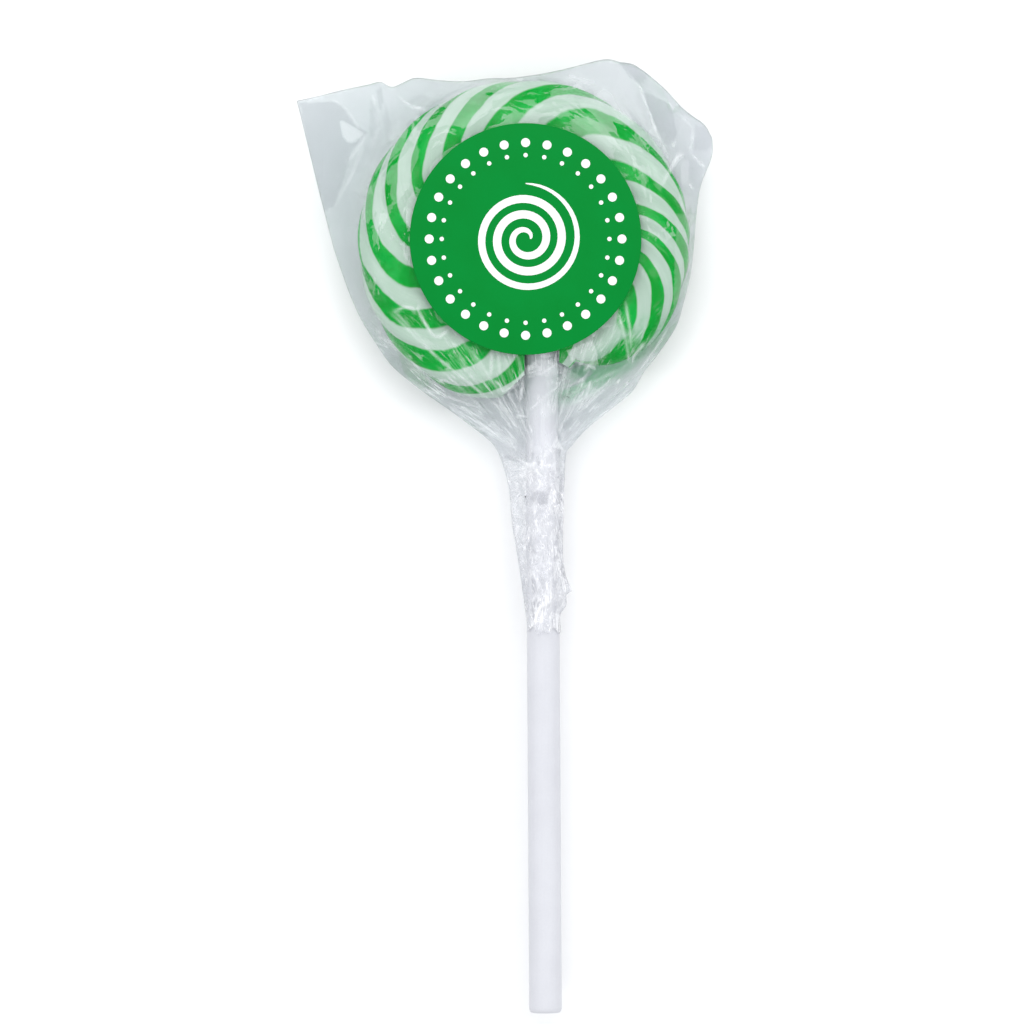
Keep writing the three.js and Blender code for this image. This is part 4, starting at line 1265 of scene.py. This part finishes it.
def film_material():
    """Thin clear film, lighter where it is creased (stress whitening and painted highlights) and where it
    stands off the candy (a painted reflection, a pale veil). Places are in metres.
    """
    material, n, shader = new_material("clear crinkled film")
    place = object_place(n)
    x, y, _ = n.separate(place)
    out = n.vector("LENGTH", n.combine(x, y))

    def kept(name):
        return n.add("ShaderNodeAttribute", attribute_name=name).outputs["Fac"]

    gathers, creases, painted_light = kept("gathers"), kept("creases"), kept("painted_light")
    seam, behind = kept("seam"), kept("behind")
    crinkle = n.noise(n.stretch(place, 1.0, 0.55, 1.0), 420.0, 3.0, 0.55, 0.6)
    crumpled = n.times(gathers, n.ramp(x, -0.0006, 0.0010, 0.3, 1.0))
    tilted, shard = film_shards(n, place, crumpled)
    # Painted light: a painted reflection lightens some facets, and painted shade darkens others
    painted_highlight = n.larger(painted_light, 0.0)
    painted_shade = n.larger(n.times(painted_light, -1.0), 0.0)

    # Painted reflection: a pale veil for the top light's reflection, stronger towards the top, and clear in
    # ragged patches where the film clings to the candy
    round_candy = n.combine(n.times(n.math("ARCTAN2", x, y), 0.008), out)
    ragged = n.noise(round_candy, 360.0, 5.0, 0.62, 0.7)
    least = n.plus(n.ramp(y, -0.014, 0.012, 0.38, 0.51), n.ramp(x, 0.010, 0.022, 0.0, -0.08))
    clings = n.times(n.ramp(n.minus(ragged, least), 0.0, 0.015), n.fall(out, 0.0220, 0.0235))
    painted_veil = n.times(
        n.ramp(y, -0.020, 0.014, 0.10, 0.17),
        n.ramp(out, 0.0225, 0.0250, 1.0, 0.3),
        n.ramp(shard, 0.2, 0.8, 0.75, 1.3),
        n.minus(1.0, clings),
    )

    # Painted reflection of the candy: its green painted into the folds just off its lower right rim
    painted_candy_reflection = n.times(
        n.ramp(out, 0.0180, 0.0195),
        n.fall(out, 0.0215, 0.0240),
        n.ramp(x, 0.003, 0.006),
        n.fall(y, -0.013, -0.009),
        n.ramp(ragged, 0.4, 0.55, 0.1, 0.75),
    )

    # Pale and even where the painted veil, the painted facet highlights and the crease lines lie, and
    # glossy where it is seen edge on or is gathered
    lines = n.larger(creases, n.times(film_hairlines(n, x, y, gathers), 0.75))
    lines = n.times(lines, n.ramp(crinkle, 0.3, 0.6, 0.25, 0.6))
    pale_share = n.plus(painted_veil, n.times_plus(painted_highlight, 0.3, lines))
    pale_share = n.times_plus(crumpled, n.ramp(shard, 0.0, 1.0, 0.1, 0.36), pale_share)
    edge_on = n.add("ShaderNodeLayerWeight", {"Blend": 0.2, "Normal": tilted}).outputs["Fresnel"]
    shines = n.smaller(n.times_plus(edge_on, 0.8, -0.006), 0.3)
    shines = n.times_plus(crumpled, 0.03, n.times_plus(seam, 0.1, shines))
    share = n.plus(pale_share, shines)
    metallic = n.over(shines, n.larger(share, 0.001))
    specks = specks_of(n, 4.2, 0.15)
    share = n.smaller(n.times_plus(specks, 0.6, share), 1.0)
    # Whiter along the lines: painted highlights
    gathered = n.mix_colour(lines, (0.82, 0.825, 0.85, 1), (1.0, 1.0, 1.0, 1))
    film = n.mix_colour(gathers, (0.90, 0.925, 0.935, 1), gathered)
    inputs = {
        "Base Color": n.mix_colour(specks, film, (0.1, 0.1, 0.09, 1)),
        "Metallic": metallic,
        "Roughness": n.ramp(crinkle, 0.3, 0.7, 0.08, 0.2),
        "Normal": tilted,
    }
    n.fill(shader, inputs)
    in_shade = n.add("ShaderNodeLightPath").outputs["Is Shadow Ray"]
    share = n.times(share, n.times_plus(in_shade, -0.85, 1.0))

    # The back sheet is darker than clear film: its own tint and painted shade over the floor under the bag,
    # with less painted shade where it is gathered
    grey = n.mix_colour(n.ramp(x, -0.030, 0.012), (0.70, 0.74, 0.755, 1), (0.70, 0.722, 0.755, 1))
    grey = n.mix_colour(n.times(gathers, 0.6), grey, (0.95, 0.95, 0.97, 1))
    tint = n.mix_colour(behind, (0.975, 0.98, 0.983, 1), grey)
    # The tints below paint shade into the darker facets and light into the lighter ones
    tints = [
        (n.times(seam, 0.25), (0.72, 0.75, 0.76, 1)),
        (n.times(painted_shade, 0.8), (0.60, 0.61, 0.635, 1)),
        (n.times(painted_highlight, 0.8), (1.0, 1.0, 1.0, 1)),
        (painted_candy_reflection, (0.55, 0.82, 0.64, 1)),
        (n.times(in_shade, 0.75), (1.0, 1.0, 1.0, 1)),
    ]
    for amount, colour in tints:
        tint = n.mix_colour(amount, tint, colour)
    clear = n.add("ShaderNodeBsdfTransparent", {"Color": tint})
    mixed = n.add("ShaderNodeMixShader", {"Fac": share})
    n.give(mixed.inputs[1], clear.outputs[0])
    n.give(mixed.inputs[2], shader.outputs[0])
    exit_node = material.node_tree.nodes["Material Output"]
    n.give(exit_node.inputs["Surface"], mixed.outputs[0])
    return material


def floor_material():
    material, n, shader = new_material("pale floor")
    mottle = mottled(n, 60.0, 3.0)
    colour = n.mix_colour(mottle["Value"], (0.90, 0.90, 0.90, 1), (0.915, 0.915, 0.915, 1))
    n.fill(shader, {"Base Color": colour, "Roughness": 0.9, "Specular IOR Level": 0.1})
    return material


# The studio


def make_floor():
    half = FLOOR_HALF
    plan = [(-half, -half), (half, -half), (half, half), (-half, half)]
    corners = [(x, y, FLOOR_HEIGHT) for x, y in plan]
    mesh = mesh_of("studio_floor", corners, [(0, 1, 2, 3)])
    mesh.materials.append(floor_material())
    new_object("studio_floor", mesh)


def soft_box(name, bearing, slant, width, height, radiance):
    """A light that faces the object."""
    data = bpy.data.lights.new(name, "AREA")
    data.shape = "RECTANGLE"
    data.size = width
    data.size_y = height
    data.energy = radiance * math.pi * width * height
    lamp = new_object(name, data)
    a, e = math.radians(bearing), math.radians(slant)
    away = (math.sin(a) * math.sin(e), math.cos(a) * math.sin(e), math.cos(e))
    lamp.location = [LIGHT_DISTANCE * part for part in away]
    lamp.rotation_euler = (-lamp.location).to_track_quat("-Z", "Y").to_euler()


def make_lights():
    for light in LIGHTS:
        soft_box(*light)
    world = bpy.data.worlds.new("studio")
    world.use_nodes = True
    background = world.node_tree.nodes["Background"]
    background.inputs["Color"].default_value = (0.95, 0.97, 1.0, 1)
    background.inputs["Strength"].default_value = 0.75
    bpy.context.scene.world = world


def make_camera():
    """Straight down, with the top of the candy upwards in the picture."""
    data = bpy.data.cameras.new("camera")
    data.lens = LENS
    data.sensor_width = SENSOR_WIDTH
    data.clip_start = 0.01
    data.clip_end = 50.0
    distance = PICTURE_WIDTH / 2 / (SENSOR_WIDTH / 2 / data.lens)
    camera = new_object("camera", data)
    camera.location = metres(*PICTURE_MIDDLE, MID_HEIGHT + distance)
    bpy.context.scene.camera = camera


mottle_group()
speck_group()
make_camera()
make_lights()
make_floor()
make_candy()
make_stick()
make_label()
make_print()
make_film()
bpy.context.scene.view_settings.view_transform = "Standard"
